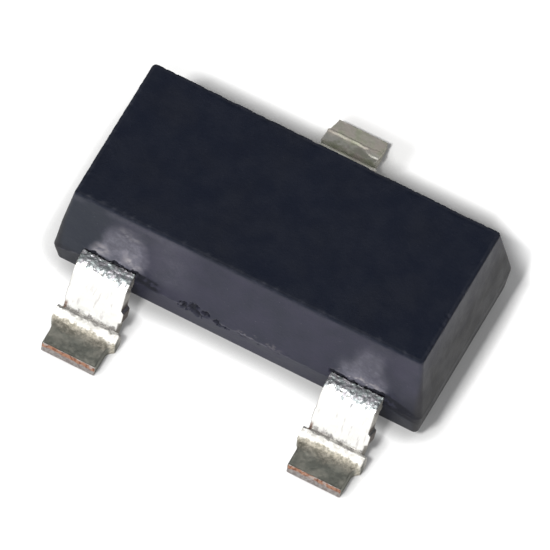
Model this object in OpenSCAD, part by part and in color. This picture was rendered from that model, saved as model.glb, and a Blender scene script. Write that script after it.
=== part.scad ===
// Three-lead surface-mount current regulator diode, in millimetres.
// The feet stand on the XY plane. The two front leads reach towards -Y and the rear lead towards +Y.

/* [Moulded body] */
// Length of the body at its parting line
body_l = 2.84; // [2.3:0.01:3.5]
// Width of the body at its parting line
body_w = 1.40; // [1.15:0.01:1.7]
// Height of the upper half, from the parting line to the flat top
upper_h = 0.58; // [0.45:0.01:0.75]
// Height of the lower half, from the underside to the parting line
lower_h = 0.24; // [0.18:0.01:0.32]
// How far the flat top is drawn in at each end
upper_end_draft = 0.08; // [0.02:0.005:0.15]
// How far the flat top is drawn in along each lead side
upper_side_draft = 0.125; // [0.02:0.005:0.2]
// How far the underside is drawn in, all round
lower_draft = 0.025; // [0.01:0.005:0.06]
// Plan radius of the two upright corners at the front
front_corner_r = 0.04; // [0.02:0.005:0.15]
// Plan radius of the two upright corners at the back
back_corner_r = 0.085; // [0.02:0.005:0.15]
// Gap between the underside and the surface that the feet stand on
standoff = 0.11; // [0.03:0.01:0.2]
// Diameter of the round ejector mark in the underside
ejector_d = 0.5; // [0.2:0.05:0.8]
// Depth of the ejector mark
ejector_depth = 0.015; // [0.005:0.005:0.03]

/* [Leads] */
// Distance between the middles of the two front leads
lead_pitch = 1.90; // [1.5:0.01:2.3]
// Width of each lead outside the body
lead_w = 0.41; // [0.3:0.01:0.5]
// Thickness of the lead frame strip
lead_t = 0.12; // [0.08:0.005:0.16]
// Length of the front feet, from the lower bend to the toe
front_foot_l = 0.305; // [0.22:0.005:0.45]
// Length of the rear foot, from the lower bend to the toe
rear_foot_l = 0.225; // [0.22:0.005:0.45]
// Straight length from the parting line to the first bend
shoulder_l = 0.03; // [0.01:0.005:0.08]
// Angle of the sloping part below the horizontal, in degrees
bend_angle = 57; // [40:1:75]
// Inside radius of both bends
bend_r = 0.02; // [0.01:0.005:0.05]
// Width of the heel, the wide start of each foot
heel_w = 0.50; // [0.42:0.01:0.6]
// Length of the heel's sloping top
heel_l = 0.085; // [0.04:0.005:0.13]
// How far the heel's crest stands above the thickness of the strip
heel_rise = 0.022; // [0:0.002:0.03]
// How far the front edge of the heel's top lies below the thickness of the strip
heel_fall = 0.008; // [0:0.002:0.01]
// Length of the hollow curve from the heel's ears down to the width of the lead
flare_l = 0.05; // [0.02:0.005:0.08]
// How much thinner the coined toe is than the strip
toe_coin = 0.02; // [0.01:0.002:0.03]
// How far the cut end of the toe leans back at its top
toe_slant = 0.02; // [0:0.005:0.04]
// Width over the sheared stubs of the tie bar, half way down the slope
stub_w = 0.45; // [0.42:0.01:0.55]
// Length of a tie bar stub along the lead
stub_l = 0.08; // [0.04:0.01:0.12]

/* [Bond posts and paddle] */
// Depth of mould compound between a lead side of the body and the bond posts
post_cover = 0.20; // [0.12:0.01:0.3]
// Size of a bond post across the body
post_w = 0.38; // [0.25:0.01:0.5]
// Mould compound between a bond post and the end of the body
end_cover = 0.22; // [0.15:0.01:0.35]
// Gap between the paddle and each bond post
post_gap = 0.14; // [0.1:0.01:0.25]
// Length of the chip paddle along the body
paddle_l = 0.96; // [0.7:0.01:1.2]
// Size of the chip paddle across the body
paddle_w = 0.70; // [0.5:0.01:0.85]
// Depth of mould compound between the rear side of the body and the paddle
paddle_cover = 0.28; // [0.2:0.01:0.4]
// Corner radius of the stamped posts and paddle
pad_r = 0.04; // [0.02:0.005:0.08]
// Diameter of the locking holes and notches that the mould compound fills
lock_d = 0.12; // [0.08:0.01:0.16]

/* [Chip and bond wires] */
// Side of the square silicon chip
die_s = 0.40; // [0.3:0.01:0.5]
// Thickness of the chip
die_t = 0.15; // [0.1:0.01:0.2]
// Thickness of the adhesive bond line under the chip
attach_t = 0.02; // [0.01:0.005:0.04]
// How far the adhesive is squeezed out past each side of the chip
attach_rim = 0.025; // [0.01:0.005:0.05]
// Diameter of the bond wires
wire_d = 0.03; // [0.02:0.002:0.05]
// Diameter of the ball at the chip end of each wire
ball_d = 0.075; // [0.06:0.005:0.1]
// Height of that ball
ball_h = 0.02; // [0.01:0.005:0.03]
// Height of the straight wire above the ball
wire_rise = 0.06; // [0.03:0.01:0.1]
// Radius of the loop where the wire turns towards its post
loop_r = 0.06; // [0.03:0.01:0.1]
// Diameter of the flattened stitch at the post end of each wire
stitch_d = 0.09; // [0.06:0.01:0.12]
// Thickness of the stitch
stitch_t = 0.012; // [0.008:0.002:0.02]

/* [Hidden] */
$fn = 32;

// Levels
bottom_z = standoff;
seam_z = bottom_z + lower_h;
top_z = seam_z + upper_h;
lead_under_z = seam_z - lead_t / 2;
lead_top_z = seam_z + lead_t / 2;
die_z = lead_top_z + attach_t;
die_top_z = die_z + die_t;

// Side shape of a lead, as distances outwards from the body's middle
first_bend = body_w / 2 + shoulder_l;
mid_bend_r = bend_r + lead_t / 2;
slope_drop = lead_under_z - 2 * mid_bend_r * (1 - cos(bend_angle));
slope_l = slope_drop / sin(bend_angle);
heel_start = first_bend + 2 * mid_bend_r * sin(bend_angle) + slope_l * cos(bend_angle);
heel_end = heel_start + heel_l;
// The crest stands this far out from the crease where the slope ends
crest_run = 0.012;
slope_mid = (first_bend + heel_start) / 2;
front_reach = heel_start + front_foot_l;
rear_reach = heel_start + rear_foot_l;
// Each ear stands this far out from the lead's side, and the hollow curve from it is part of a circle
ear_w = (heel_w - lead_w) / 2;
flare_r = (flare_l * flare_l + ear_w * ear_w) / (2 * ear_w);
// Straight steps that each bend is drawn with
bend_steps = 10;

// Middle of the body, so that the front and rear toes lie equally far from the origin
mid_y = (front_reach - rear_reach) / 2;

// Places of the posts and the paddle, measured from the body's middle
post_outer = body_w / 2 - post_cover;
post_inner = post_outer - post_w;
post_far_x = body_l / 2 - end_cover;
post_near_x = paddle_l / 2 + post_gap;
paddle_back = body_w / 2 - paddle_cover;
paddle_front = paddle_back - paddle_w;
die_y = (paddle_front + paddle_back) / 2;

// Where the wires start on the chip and end on the posts
wire_pad_x = die_s * 0.28;
wire_pad_y = die_y - die_s * 0.2;
stitch_x = post_near_x + stitch_d;
stitch_y = -post_inner - post_w * 0.4;

// A cutting or forming body reaches this far past what it has to cover
reach_past = 5;
// The corner rounding is cut this much proud of the drafted sides
corner_ease = 0.004;

mould_black = [0.13, 0.14, 0.17];
tin_bright = [0.80, 0.80, 0.78];
adhesive_grey = [0.62, 0.62, 0.60];
silicon_grey = [0.36, 0.38, 0.44];
gold_yellow = [0.90, 0.72, 0.30];

// Flat shapes

// Rectangle with round corners
module rounded_rect(size, r) {
    square([size.x, size.y - 2 * r], center = true);
    square([size.x - 2 * r, size.y], center = true);
    for (sx = [-1, 1], sy = [-1, 1])
        translate([sx * (size.x / 2 - r), sy * (size.y / 2 - r)])
            circle(r);
}

// Rectangle with round corners between two x and two y values
module rounded_span(x0, x1, y0, y1, r) {
    translate([(x0 + x1) / 2, (y0 + y1) / 2])
        rounded_rect([x1 - x0, y1 - y0], r);
}

// Section of the drafted body whose half width at the parting line is half_w
function drafted_section(half_w, upper_draft) = [
    [-half_w, seam_z],
    [-half_w + lower_draft, bottom_z],
    [half_w - lower_draft, bottom_z],
    [half_w, seam_z],
    [half_w - upper_draft, top_z],
    [-half_w + upper_draft, top_z]
];

// Points along an arc, from one angle to another
function arc(middle, r, from, to) = [
    for (k = [0 : bend_steps])
        let (angle = from + (to - from) * k / bend_steps)
            middle + r * [cos(angle), sin(angle)]
];

// Side view of a lead: x is the distance outwards from the body's middle and y is the height
module lead_side(inner_end, reach) {
    upper_bend = [first_bend, lead_under_z - bend_r];
    lower_bend = [heel_start, lead_t + bend_r];
    outer_r = bend_r + lead_t;
    polygon(concat(
        [[inner_end, lead_under_z], [inner_end, lead_top_z]],
        arc(upper_bend, outer_r, 90, 90 - bend_angle),
        arc(lower_bend, bend_r, 270 - bend_angle, 270),
        [[heel_start + crest_run, lead_t + heel_rise], [heel_end, lead_t - heel_fall]],
        [[reach - toe_slant, lead_t - toe_coin], [reach, 0]],
        arc(lower_bend, outer_r, 270, 270 - bend_angle),
        arc(upper_bend, bend_r, 90 - bend_angle, 90)
    ));
}

// Plan view of the part of a lead outside the body, centred on x = 0, with y outwards
module lead_plan_outside(inner_end, reach) {
    translate([-lead_w / 2, inner_end])
        square([lead_w, reach - inner_end]);
    translate([-heel_w / 2, heel_start])
        square([heel_w, heel_l]);
    difference() {
        translate([-heel_w / 2, heel_end])
            square([heel_w, flare_l]);
        for (sx = [-1, 1])
            translate([sx * (lead_w / 2 + flare_r), heel_end + flare_l])
                circle(flare_r, $fn = 64);
    }
    translate([-stub_w / 2, slope_mid - stub_l / 2])
        square([stub_w, stub_l]);
}

// A stamped and bent lead: its side view through its plan view, with y outwards
module bent_lead(inner_end, reach) {
    intersection() {
        rotate([90, 0, 90])
            linear_extrude(reach_past, center = true)
                lead_side(inner_end, reach);
        linear_extrude(top_z)
            children();
    }
}

// Front lead on the side given by side, which is -1 for left and 1 for right
module front_lead(side) {
    x0 = side * lead_pitch / 2;
    translate([0, mid_y, 0])
        mirror([0, 1, 0])
            bent_lead(post_inner, front_reach)
                difference() {
                    union() {
                        translate([x0, 0])
                            lead_plan_outside(post_inner, front_reach);
                        scale([side, 1])
                            rounded_span(post_near_x, post_far_x, post_inner, post_outer, pad_r);
                    }
                    translate([x0, post_outer - lock_d])
                        circle(d = lock_d);
                }
}

// Body

// Plan of the body at its parting line, a little proud of the sides so that only the corners are cut
module body_plan() {
    half_l = body_l / 2 + corner_ease;
    half_w = body_w / 2 + corner_ease;
    front_r = front_corner_r + corner_ease;
    back_r = back_corner_r + corner_ease;
    for (sx = [-1, 1]) {
        translate([sx * (half_l - front_r), front_r - half_w])
            circle(front_r);
        translate([sx * (half_l - back_r), half_w - back_r])
            circle(back_r);
    }
    translate([-half_l, front_r - half_w])
        square([2 * half_l, 2 * half_w - front_r - back_r]);
    translate([front_r - half_l, -half_w])
        square([2 * (half_l - front_r), half_w]);
    translate([back_r - half_l, 0])
        square([2 * (half_l - back_r), half_w]);
}

// Drafted block: its cross-section passed through its long section, with round upright corners
module mould_form() {
    intersection() {
        rotate([90, 0, 90])
            linear_extrude(reach_past, center = true)
                polygon(drafted_section(body_w / 2, upper_side_draft));
        rotate([90, 0, 0])
            linear_extrude(reach_past, center = true)
                polygon(drafted_section(body_l / 2, upper_end_draft));
        linear_extrude(top_z + reach_past)
            body_plan();
    }
}

module mould_body() {
    color(mould_black)
        difference() {
            translate([0, mid_y, 0])
                mould_form();
            translate([0, mid_y, bottom_z - ejector_depth])
                cylinder(d = ejector_d, h = 2 * ejector_depth);
            anode_lead();
            cathode_lead();
            paddle_lead();
            die_attach();
            silicon_die();
            anode_bond_wire();
            cathode_bond_wire();
        }
}

// Leads

module anode_lead() {
    color(tin_bright)
        front_lead(-1);
}

module cathode_lead() {
    color(tin_bright)
        front_lead(1);
}

module paddle_lead() {
    color(tin_bright)
        translate([0, mid_y, 0])
            bent_lead(paddle_front, rear_reach)
                difference() {
                    union() {
                        lead_plan_outside(paddle_back - pad_r, rear_reach);
                        rounded_span(-paddle_l / 2, paddle_l / 2, paddle_front, paddle_back, pad_r);
                    }
                    for (sx = [-1, 1])
                        translate([sx * lead_w / 2, body_w / 2 - paddle_cover / 2])
                            circle(d = lock_d);
                }
}

// Chip and what holds and connects it

module die_attach() {
    color(adhesive_grey)
        translate([0, mid_y + die_y, lead_top_z])
            linear_extrude(attach_t)
                rounded_rect([die_s + 2 * attach_rim, die_s + 2 * attach_rim], attach_rim);
}

module silicon_die() {
    color(silicon_grey)
        translate([-die_s / 2, mid_y + die_y - die_s / 2, die_z])
            cube([die_s, die_s, die_t]);
}

// Wire from a ball on the chip, up and over a loop, and down in a straight run to its stitch
module bond_wire(side) {
    run = [side * (stitch_x - wire_pad_x), stitch_y - wire_pad_y];
    span = norm(run);
    // Heights above the ball's top, which is where the straight rise starts
    loop_z = ball_h + wire_rise;
    end_z = lead_top_z - die_top_z + wire_d * 0.55;
    drop = loop_z - end_z;
    reach = span - loop_r;
    slope = atan2(drop, reach) + asin(loop_r / norm([reach, drop]));
    run_l = (reach - loop_r * sin(slope)) / cos(slope);
    color(gold_yellow)
        translate([side * wire_pad_x, mid_y + wire_pad_y, die_top_z])
            rotate(atan2(run.y, run.x)) {
                cylinder(d = ball_d, h = ball_h);
                cylinder(d = wire_d, h = loop_z);
                translate([loop_r, 0, loop_z])
                    rotate([90, 0, 0])
                        rotate(90 - slope)
                            rotate_extrude(angle = 90 + slope)
                                translate([loop_r, 0])
                                    circle(d = wire_d);
                translate([loop_r + loop_r * sin(slope), 0, loop_z + loop_r * cos(slope)])
                    rotate([0, 90 + slope, 0])
                        cylinder(d = wire_d, h = run_l);
                translate([span, 0, lead_top_z - die_top_z])
                    cylinder(d = stitch_d, h = stitch_t);
            }
}

module anode_bond_wire() {
    bond_wire(-1);
}

module cathode_bond_wire() {
    bond_wire(1);
}

mould_body();
anode_lead();
cathode_lead();
paddle_lead();
die_attach();
silicon_die();
anode_bond_wire();
cathode_bond_wire();
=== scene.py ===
import math
from functools import reduce
from types import SimpleNamespace

import bmesh
import bpy
import numpy as np
from bpy.props import FloatProperty, FloatVectorProperty, IntProperty, PointerProperty
from mathutils import Matrix, Vector


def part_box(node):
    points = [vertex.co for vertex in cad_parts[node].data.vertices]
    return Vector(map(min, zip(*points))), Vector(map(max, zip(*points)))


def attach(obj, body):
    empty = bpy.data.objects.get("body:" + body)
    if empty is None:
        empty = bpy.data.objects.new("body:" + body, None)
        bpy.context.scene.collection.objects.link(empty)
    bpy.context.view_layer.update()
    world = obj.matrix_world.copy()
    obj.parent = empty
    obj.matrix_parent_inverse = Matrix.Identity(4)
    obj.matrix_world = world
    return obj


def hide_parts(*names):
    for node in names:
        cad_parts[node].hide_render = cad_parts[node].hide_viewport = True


bl_info = {
    "name": "Current Regulator Diode",
    "version": (1, 0, 0),
    "blender": (4, 5, 0),
    "location": "View3D > Sidebar > Regulator",
    "description": "Builds a moulded current regulator diode with formed leads, its chip and a small studio",
    "category": "Add Mesh",
}

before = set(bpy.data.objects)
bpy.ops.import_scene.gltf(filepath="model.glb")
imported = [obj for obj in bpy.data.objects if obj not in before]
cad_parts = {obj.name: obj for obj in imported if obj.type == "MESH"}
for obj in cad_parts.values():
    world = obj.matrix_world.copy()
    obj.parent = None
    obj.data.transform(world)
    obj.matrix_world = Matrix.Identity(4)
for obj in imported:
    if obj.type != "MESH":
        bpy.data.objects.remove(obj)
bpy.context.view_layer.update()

MM = 0.001
BODY_LOW, BODY_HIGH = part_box("mould_body")
BODY_HALF_X = (BODY_HIGH.x - BODY_LOW.x) / 2
BODY_HALF_Y = (BODY_HIGH.y - BODY_LOW.y) / 2
BODY_MID_Y = (BODY_LOW.y + BODY_HIGH.y) / 2
FRONT_LOW, FRONT_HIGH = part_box("cathode_lead")
REAR_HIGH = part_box("paddle_lead")[1]
CHIP_LOW, CHIP_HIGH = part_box("silicon_die")
# How far the toes reach from the body's middle
FRONT_REACH = BODY_MID_Y - FRONT_LOW.y
REAR_REACH = REAR_HIGH.y - BODY_MID_Y
# The leads lie in the parting plane, and their upper faces are the highest that they reach
LEAD_TOP_Z = FRONT_HIGH.z


# Settings

def length(name, description, millimetres, least=0.0):
    """A size, given in millimetres, that the panel shows in the scene's length unit."""
    return FloatProperty(
        name=name, description=description, default=millimetres * MM, min=least * MM,
        precision=5, subtype="DISTANCE", unit="LENGTH",
    )


def angle(name, description, degrees, least=-360, most=360):
    """An angle, given in degrees."""
    return FloatProperty(
        name=name, description=description, default=math.radians(degrees),
        min=math.radians(least), max=math.radians(most), subtype="ANGLE", unit="ROTATION",
    )


def share(name, description, default, most=1.0):
    """An amount from 0 upwards."""
    return FloatProperty(
        name=name, description=description, default=default, min=0.0, max=most, subtype="FACTOR",
    )


def number(name, description, default, least, most):
    """A whole number."""
    return IntProperty(
        name=name, description=description, default=default, min=least, max=most, subtype="UNSIGNED",
    )


def colour(name, description, default):
    """A linear colour."""
    return FloatVectorProperty(
        name=name, description=description, default=default, size=3, min=0.0, max=1.0, subtype="COLOR",
    )


class MouldingSettings(bpy.types.PropertyGroup):
    """Sizes and colours of the moulded body."""

    seam_height: length("Seam height", "Height of the parting line above the board", 0.35)
    end_draft: length("End draft", "How far the top is drawn in at each end", 0.08)
    side_draft: length("Side draft", "How far the top is drawn in along each lead side", 0.125)
    lower_draft: length("Lower draft", "How far the underside is drawn in", 0.025)
    front_corner: length("Front corner radius", "Plan radius of the front corners at the seam", 0.042)
    back_corner: length("Back corner radius", "Plan radius of the back corners at the seam", 0.085)
    top_corner: length("Top corner radius", "Plan radius of the upright corners at the top", 0.026)
    top_edge: length("Top edge radius", "Rounding of the edge round the top", 0.011)
    bottom_edge: length("Bottom edge radius", "Rounding of the edge round the underside", 0.012)
    ejector_width: length("Ejector mark width", "Diameter of the round mark in the underside", 0.5)
    ejector_depth: length("Ejector mark depth", "Depth of the round mark in the underside", 0.015)
    groove_height: length("Exit groove height", "Height of the open groove over each lead", 0.030)
    groove_depth: length("Exit groove depth", "Depth of the groove over each lead", 0.016)
    chip_depth: length("Chip depth", "Depth of the chips and pits along the parting line", 0.024)
    edge_chip: length("Edge chip depth", "Depth of the nicks along the top edge", 0.008)
    corner_sag: length("Corner sag", "Fall of the parting line at the front left corner", 0.064)
    mesh_step: length("Mesh step", "Distance between neighbouring points of the mesh", 0.0125, 0.005)
    compound: colour("Compound", "Colour of the moulding compound", (0.0052, 0.0080, 0.0185))
    # Also the colour of the painted reflections of the leads
    compound_worn_and_reflection: colour("Worn compound", "Colour of rubbed edges and smears", (0.205, 0.198, 0.240))
    compound_warm: colour("Warm compound", "Colour of the browner ends", (0.0075, 0.0068, 0.0080))


class LeadSettings(bpy.types.PropertyGroup):
    """Sizes and colours of the formed leads."""

    pitch: length("Pitch", "Distance between the middles of the front leads", 1.90)
    width: length("Width", "Width of a lead", 0.41)
    thickness: length("Thickness", "Thickness of the strip", 0.12)
    first_bend: length("First bend", "Distance from the body's middle to the first bend", 0.73)
    inside_radius: length("Inside bend radius", "Inside radius of both bends", 0.02)
    bend_angle: angle("Bend angle", "Angle of the slope below the horizontal", 57, 30, 80)
    heel_width: length("Heel width", "Width of the heel, where the tie bar was cut", 0.50)
    rear_heel_width: length("Rear heel width", "Width of the rear lead's heel", 0.472)
    heel_length: length("Heel length", "Length of the heel along the lead", 0.085)
    heel_rise: length("Heel rise", "Height of the heel over the strip at the crease", 0.022)
    heel_fall: length("Heel fall", "Depth of the heel's lower edge under the strip", 0.008)
    crease_depth: length("Crease depth", "Depth of the ragged line between slope and heel", 0.004)
    ridge_height: length("Ridge height", "Height of the burr across the rear lead's foot", 0.009)
    ridge_place: length("Ridge place", "Distance of that burr from the heel", 0.105)
    toe_taper: length("Toe taper", "How much thinner the toe is than the strip", 0.020)
    foot_cut_in: length("Foot cut-in", "How much narrower the rear foot is on its right side", 0.032)
    toe_slant: length("Toe slant", "How far the cut toe leans back at its top", 0.02)
    stub_width: length("Stub width", "Width over the torn stubs half way down the slope", 0.448)
    edge_radius: length("Edge radius", "Rounding of the strip's long edges", 0.009)
    hammer: length("Hammering", "Depth of the dents where the die gripped the lead", 0.0095)
    ripple: length("Ripple", "Depth of the fine unevenness all over", 0.0016)
    offset: length("Offset", "Shift of both front leads to the left", 0.010)
    lean: length("Lean", "Further shift of the left lead where it meets the body", 0.028)
    stations: number("Stations", "Cross-sections along a lead", 230, 40, 300)
    around: number("Points around", "Points round a cross-section", 250, 48, 360)
    tin: colour("Tin", "Colour of the tin plate", (0.82, 0.81, 0.775))
    tarnish: colour("Tarnish", "Colour of the dulled plate on the feet", (0.36, 0.37, 0.325))
    copper: colour("Copper", "Colour of the bare copper at the cut toes", (0.46, 0.255, 0.170))


class ChipSettings(bpy.types.PropertyGroup):
    """Sizes and colours of the chip and its wires."""

    finger_count: number("Fingers", "Metal fingers on each side of the chip", 9, 3, 24)
    finger_width: length("Finger width", "Width of a metal finger", 0.010)
    bus_width: length("Bus width", "Width of the bars that join the fingers", 0.014)
    metal_margin: length("Metal margin", "Bare margin round the chip's metal", 0.03)
    finger_gap: length("Finger gap", "Gap between a finger's end and the other bar", 0.022)
    pad_side: length("Pad side", "Side of a bond pad", 0.10)
    metal_height: length("Metal height", "Thickness of the chip's metal", 0.002)
    gold: colour("Gold", "Colour of the bond wires", (1.0, 0.68, 0.26))
    aluminium: colour("Aluminium", "Colour of the chip's metal", (0.86, 0.87, 0.88))
    silicon: colour("Silicon", "Colour of the chip", (0.16, 0.17, 0.21))


class StageSettings(bpy.types.PropertyGroup):
    """Camera, lamps and floor."""

    azimuth: angle("Azimuth", "Camera's turn round the object from the front", 23.28)
    elevation: angle("Elevation", "Camera's height above the horizon", 62.28)
    roll: angle("Roll", "Camera's roll about its own axis", 5.44)
    distance: length("Distance", "Distance from the camera to the point that it looks at", 100)
    field: length("Field", "Width of what the camera sees at that distance", 3.75)
    key_power: FloatProperty(
        name="Key power", description="Power of the key lamp", default=0.53, min=0.0, unit="POWER",
    )
    key_width: length("Key width", "Width of the key lamp", 34)
    key_height: length("Key height", "Height of the key lamp", 34)
    key_azimuth: angle("Key azimuth", "The lamp's turn round the object from the front", -13)
    key_elevation: angle("Key elevation", "The lamp's height above the horizon", 60)
    key_distance: length("Key distance", "Distance from the lamp to the object", 250)
    key_tint: colour("Key tint", "Colour of the key lamp", (1.0, 0.995, 0.985))
    front_glow: share("Front glow", "Brightness of the studio's front", 1.25, 4.0)
    horizon: share("Horizon", "Brightness of the studio near the horizon", 0.30, 4.0)
    ceiling: share("Ceiling", "Brightness of the studio overhead", 0.08, 4.0)
    floor: colour("Floor", "Colour of the floor", (0.95, 0.95, 0.95))
    contact_reach: length("Contact reach", "How far the soft contact shadow reaches", 0.50)
    contact_shade: share("Contact shade", "How bright the floor stays in the deepest contact shadow", 0.43)
    floor_lift: share("Floor lift", "Light that the floor adds where it is seen", 0.135)
    clear_lift: share("Clear floor lift", "Light that the floor adds away from the part", 0.9)


GROUPS = {
    "moulding": MouldingSettings,
    "leads": LeadSettings,
    "chip": ChipSettings,
    "stage": StageSettings,
}


def settings(group):
    """The scene's settings of one kind, which the functions below call s."""
    return getattr(bpy.context.scene, "regulator_" + group)


# Shared tools

class Graph:
    """Adds nodes to a tree, and is called g below. Every input may be a socket or a constant."""

    def __init__(self, tree):
        self.tree = tree

    def add(self, kind, **values):
        node = self.tree.nodes.new(kind)
        for name, value in values.items():
            setattr(node, name, value)
        return node

    def put(self, socket, value):
        if isinstance(value, bpy.types.NodeSocket):
            self.tree.links.new(value, socket)
        else:
            socket.default_value = value

    def fill(self, node, **inputs):
        """Sets the inputs of a node; an underscore in a name stands for a space."""
        for name, value in inputs.items():
            self.put(node.inputs[name.replace("_", " ")], value)
        return node

    def make(self, kind, how=None, **inputs):
        """Adds a node, sets how it works and its inputs, and gives its first output."""
        return self.fill(self.add(kind, **(how or {})), **inputs).outputs[0]

    def math(self, operation, *values, clamp=False):
        node = self.add("ShaderNodeMath", operation=operation, use_clamp=clamp)
        for socket, value in zip(node.inputs, values):
            self.put(socket, value)
        return node.outputs[0]

    def times(self, *values):
        """The product of all the values."""
        return reduce(lambda a, b: self.math("MULTIPLY", a, b), values)

    def plus(self, *values):
        """The sum of all the values."""
        return reduce(lambda a, b: self.math("ADD", a, b), values)

    def vector(self, operation, *values, **others):
        node = self.fill(self.add("ShaderNodeVectorMath", operation=operation), **others)
        for socket, value in zip(node.inputs, values):
            self.put(socket, value)
        return node.outputs["Value" if operation in ("DOT_PRODUCT", "LENGTH") else "Vector"]

    def split(self, vector):
        return self.fill(self.add("ShaderNodeSeparateXYZ"), Vector=vector).outputs

    def join(self, x, y=0.0, z=0.0):
        return self.make("ShaderNodeCombineXYZ", X=x, Y=y, Z=z)

    def step(self, value, low, high, to_low=0.0, to_high=1.0):
        """A smooth step from to_low to to_high as value goes from low to high."""
        return self.make(
            "ShaderNodeMapRange", {"interpolation_type": "SMOOTHSTEP"}, Value=value,
            From_Min=low, From_Max=high, To_Min=to_low, To_Max=to_high,
        )

    def between(self, value, first, second):
        """1 between two soft edges, each of which is given from where it starts to where it is 1."""
        return self.times(self.step(value, *first), self.step(value, *second))

    def noise(self, place, scale, detail=2.0, roughness=0.5):
        """Noise whose scale is one number, or one for each axis."""
        if isinstance(scale, tuple):
            place, scale = self.vector("MULTIPLY", place, scale), 1.0
        return self.make("ShaderNodeTexNoise", Vector=place, Scale=scale, Detail=detail, Roughness=roughness)

    def ragged(self, value, noise, amount):
        """A value that the noise moves up and down, by amount from end to end."""
        return self.math("MULTIPLY_ADD", self.math("SUBTRACT", noise, 0.5), amount, value)

    def voronoi(self, place, scale, feature="F1", output="Distance"):
        node = self.fill(self.add("ShaderNodeTexVoronoi", feature=feature), Vector=place, Scale=scale)
        return node.outputs[output]

    def blend(self, amount, a, b):
        """Colour a, turning into colour b with amount."""
        node = self.add("ShaderNodeMix", data_type="RGBA")
        self.put(node.inputs["Factor"], amount)
        for socket, value in ((node.inputs[6], a), (node.inputs[7], b)):
            if not isinstance(value, bpy.types.NodeSocket) and len(value) == 3:
                value = (*value, 1.0)
            self.put(socket, value)
        return node.outputs[2]

    def attribute(self, name):
        """A number of the surface that a material reads."""
        return self.add("ShaderNodeAttribute", attribute_name=name).outputs["Fac"]

    def along(self, name):
        """A number of the mesh that a geometry node group reads."""
        return self.make("GeometryNodeInputNamedAttribute", {"data_type": "FLOAT"}, Name=name)


def new_material(name):
    """A material with a Principled shader, with its graph, shader and position in millimetres."""
    material = bpy.data.materials.new(name)
    material.use_nodes = True
    graph = Graph(material.node_tree)
    shader = material.node_tree.nodes["Principled BSDF"]
    place = graph.add("ShaderNodeTexCoord").outputs["Object"]
    return material, graph, shader, graph.make("ShaderNodeMapping", Vector=place, Scale=(1 / MM,) * 3)


def bump(graph, shader, height, distance):
    """Feeds a height into the shader's normal; distance is the height of 1, in metres."""
    graph.fill(shader, Normal=graph.make("ShaderNodeBump", Height=height, Distance=distance))


def new_object(name, mesh):
    thing = bpy.data.objects.new(name, mesh)
    bpy.context.scene.collection.objects.link(thing)
    return thing


def mesh_from(name, points, faces=(), edges=()):
    mesh = bpy.data.meshes.new(name)
    mesh.from_pydata([tuple(p) for p in points], edges, faces)
    mesh.update()
    return mesh


def vectors(rows, name):
    """A vector for each row of a mesh's data, as an array with three columns."""
    flat = np.zeros(len(rows) * 3, np.float32)
    rows.foreach_get(name, flat)
    return flat.reshape(-1, 3).astype(float)


def coordinates(mesh):
    return vectors(mesh.vertices, "co")


def vertex_normals(mesh):
    return vectors(mesh.vertex_normals, "vector")


def place_points(mesh, points):
    mesh.vertices.foreach_set("co", points.astype(np.float32).ravel())
    mesh.update()


def store(mesh, name, values):
    """Keeps one number a point, which the material reads by name."""
    attribute = mesh.attributes.get(name) or mesh.attributes.new(name, "FLOAT", "POINT")
    attribute.data.foreach_set("value", np.asarray(values, np.float32))


def smooth_step(value, low, high):
    t = np.clip((value - low) / (high - low), 0.0, 1.0)
    return t * t * (3 - 2 * t)


# Large odd numbers that scatter the lattice's corners over all values
SCATTER = (73856093, 19349663, 83492791)
SCATTER_SEED = 2654435761
SCATTER_AGAIN = 1274126177
ALL_BITS = 0xFFFFFFFF


def lattice_noise(points, cell, seed):
    """Smooth noise from 0 to 1 at points, on a lattice of the given cell size."""
    scaled = points / cell
    base = np.floor(scaled).astype(np.int64)
    part = scaled - base
    part = part * part * (3 - 2 * part)
    total = np.zeros(len(points))
    for corner in range(8):
        step = np.array([corner & 1, corner >> 1 & 1, corner >> 2 & 1])
        across, along, up = ((base + step) * SCATTER).T
        mixed = across ^ along ^ up ^ seed * SCATTER_SEED
        mixed = (mixed ^ mixed >> 13) * SCATTER_AGAIN & ALL_BITS
        value = (mixed ^ mixed >> 16 & 0xFFFF) / ALL_BITS
        total += value * np.prod(np.where(step == 1, part, 1 - part), axis=1)
    return total


# The cells and the weights of three octaves
OCTAVES = (1.0, 0.5, 0.25)


def rough_noise(points, cell, seed):
    """Three octaves of lattice noise, from 0 to 1."""
    layers = [size * lattice_noise(points, cell * size, seed + k) for k, size in enumerate(OCTAVES)]
    return sum(layers) / sum(OCTAVES)


def finish_piece(thing, slot, *nodes):
    """Hangs a finished piece under the root body and hides the nodes it stands for; the slot is not used."""
    if nodes:
        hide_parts(*nodes)
    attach(thing, "root")


def baked(thing, name):
    """The plain mesh that a piece with live modifiers evaluates to, on a new object."""
    graph = bpy.context.evaluated_depsgraph_get()
    mesh = bpy.data.meshes.new_from_object(thing.evaluated_get(graph), depsgraph=graph)
    old = thing.data
    thing.modifiers.clear()
    bpy.data.objects.remove(thing)
    if old.users == 0:
        bpy.data.meshes.remove(old)
    mesh.name = name
    return new_object(name, mesh)


def face_outwards(mesh):
    """Points every face outwards and shades the mesh smooth."""
    work = bmesh.new()
    work.from_mesh(mesh)
    bmesh.ops.recalc_face_normals(work, faces=work.faces)
    work.to_mesh(mesh)
    work.free()
    mesh.shade_smooth()


# Moulded body

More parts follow.
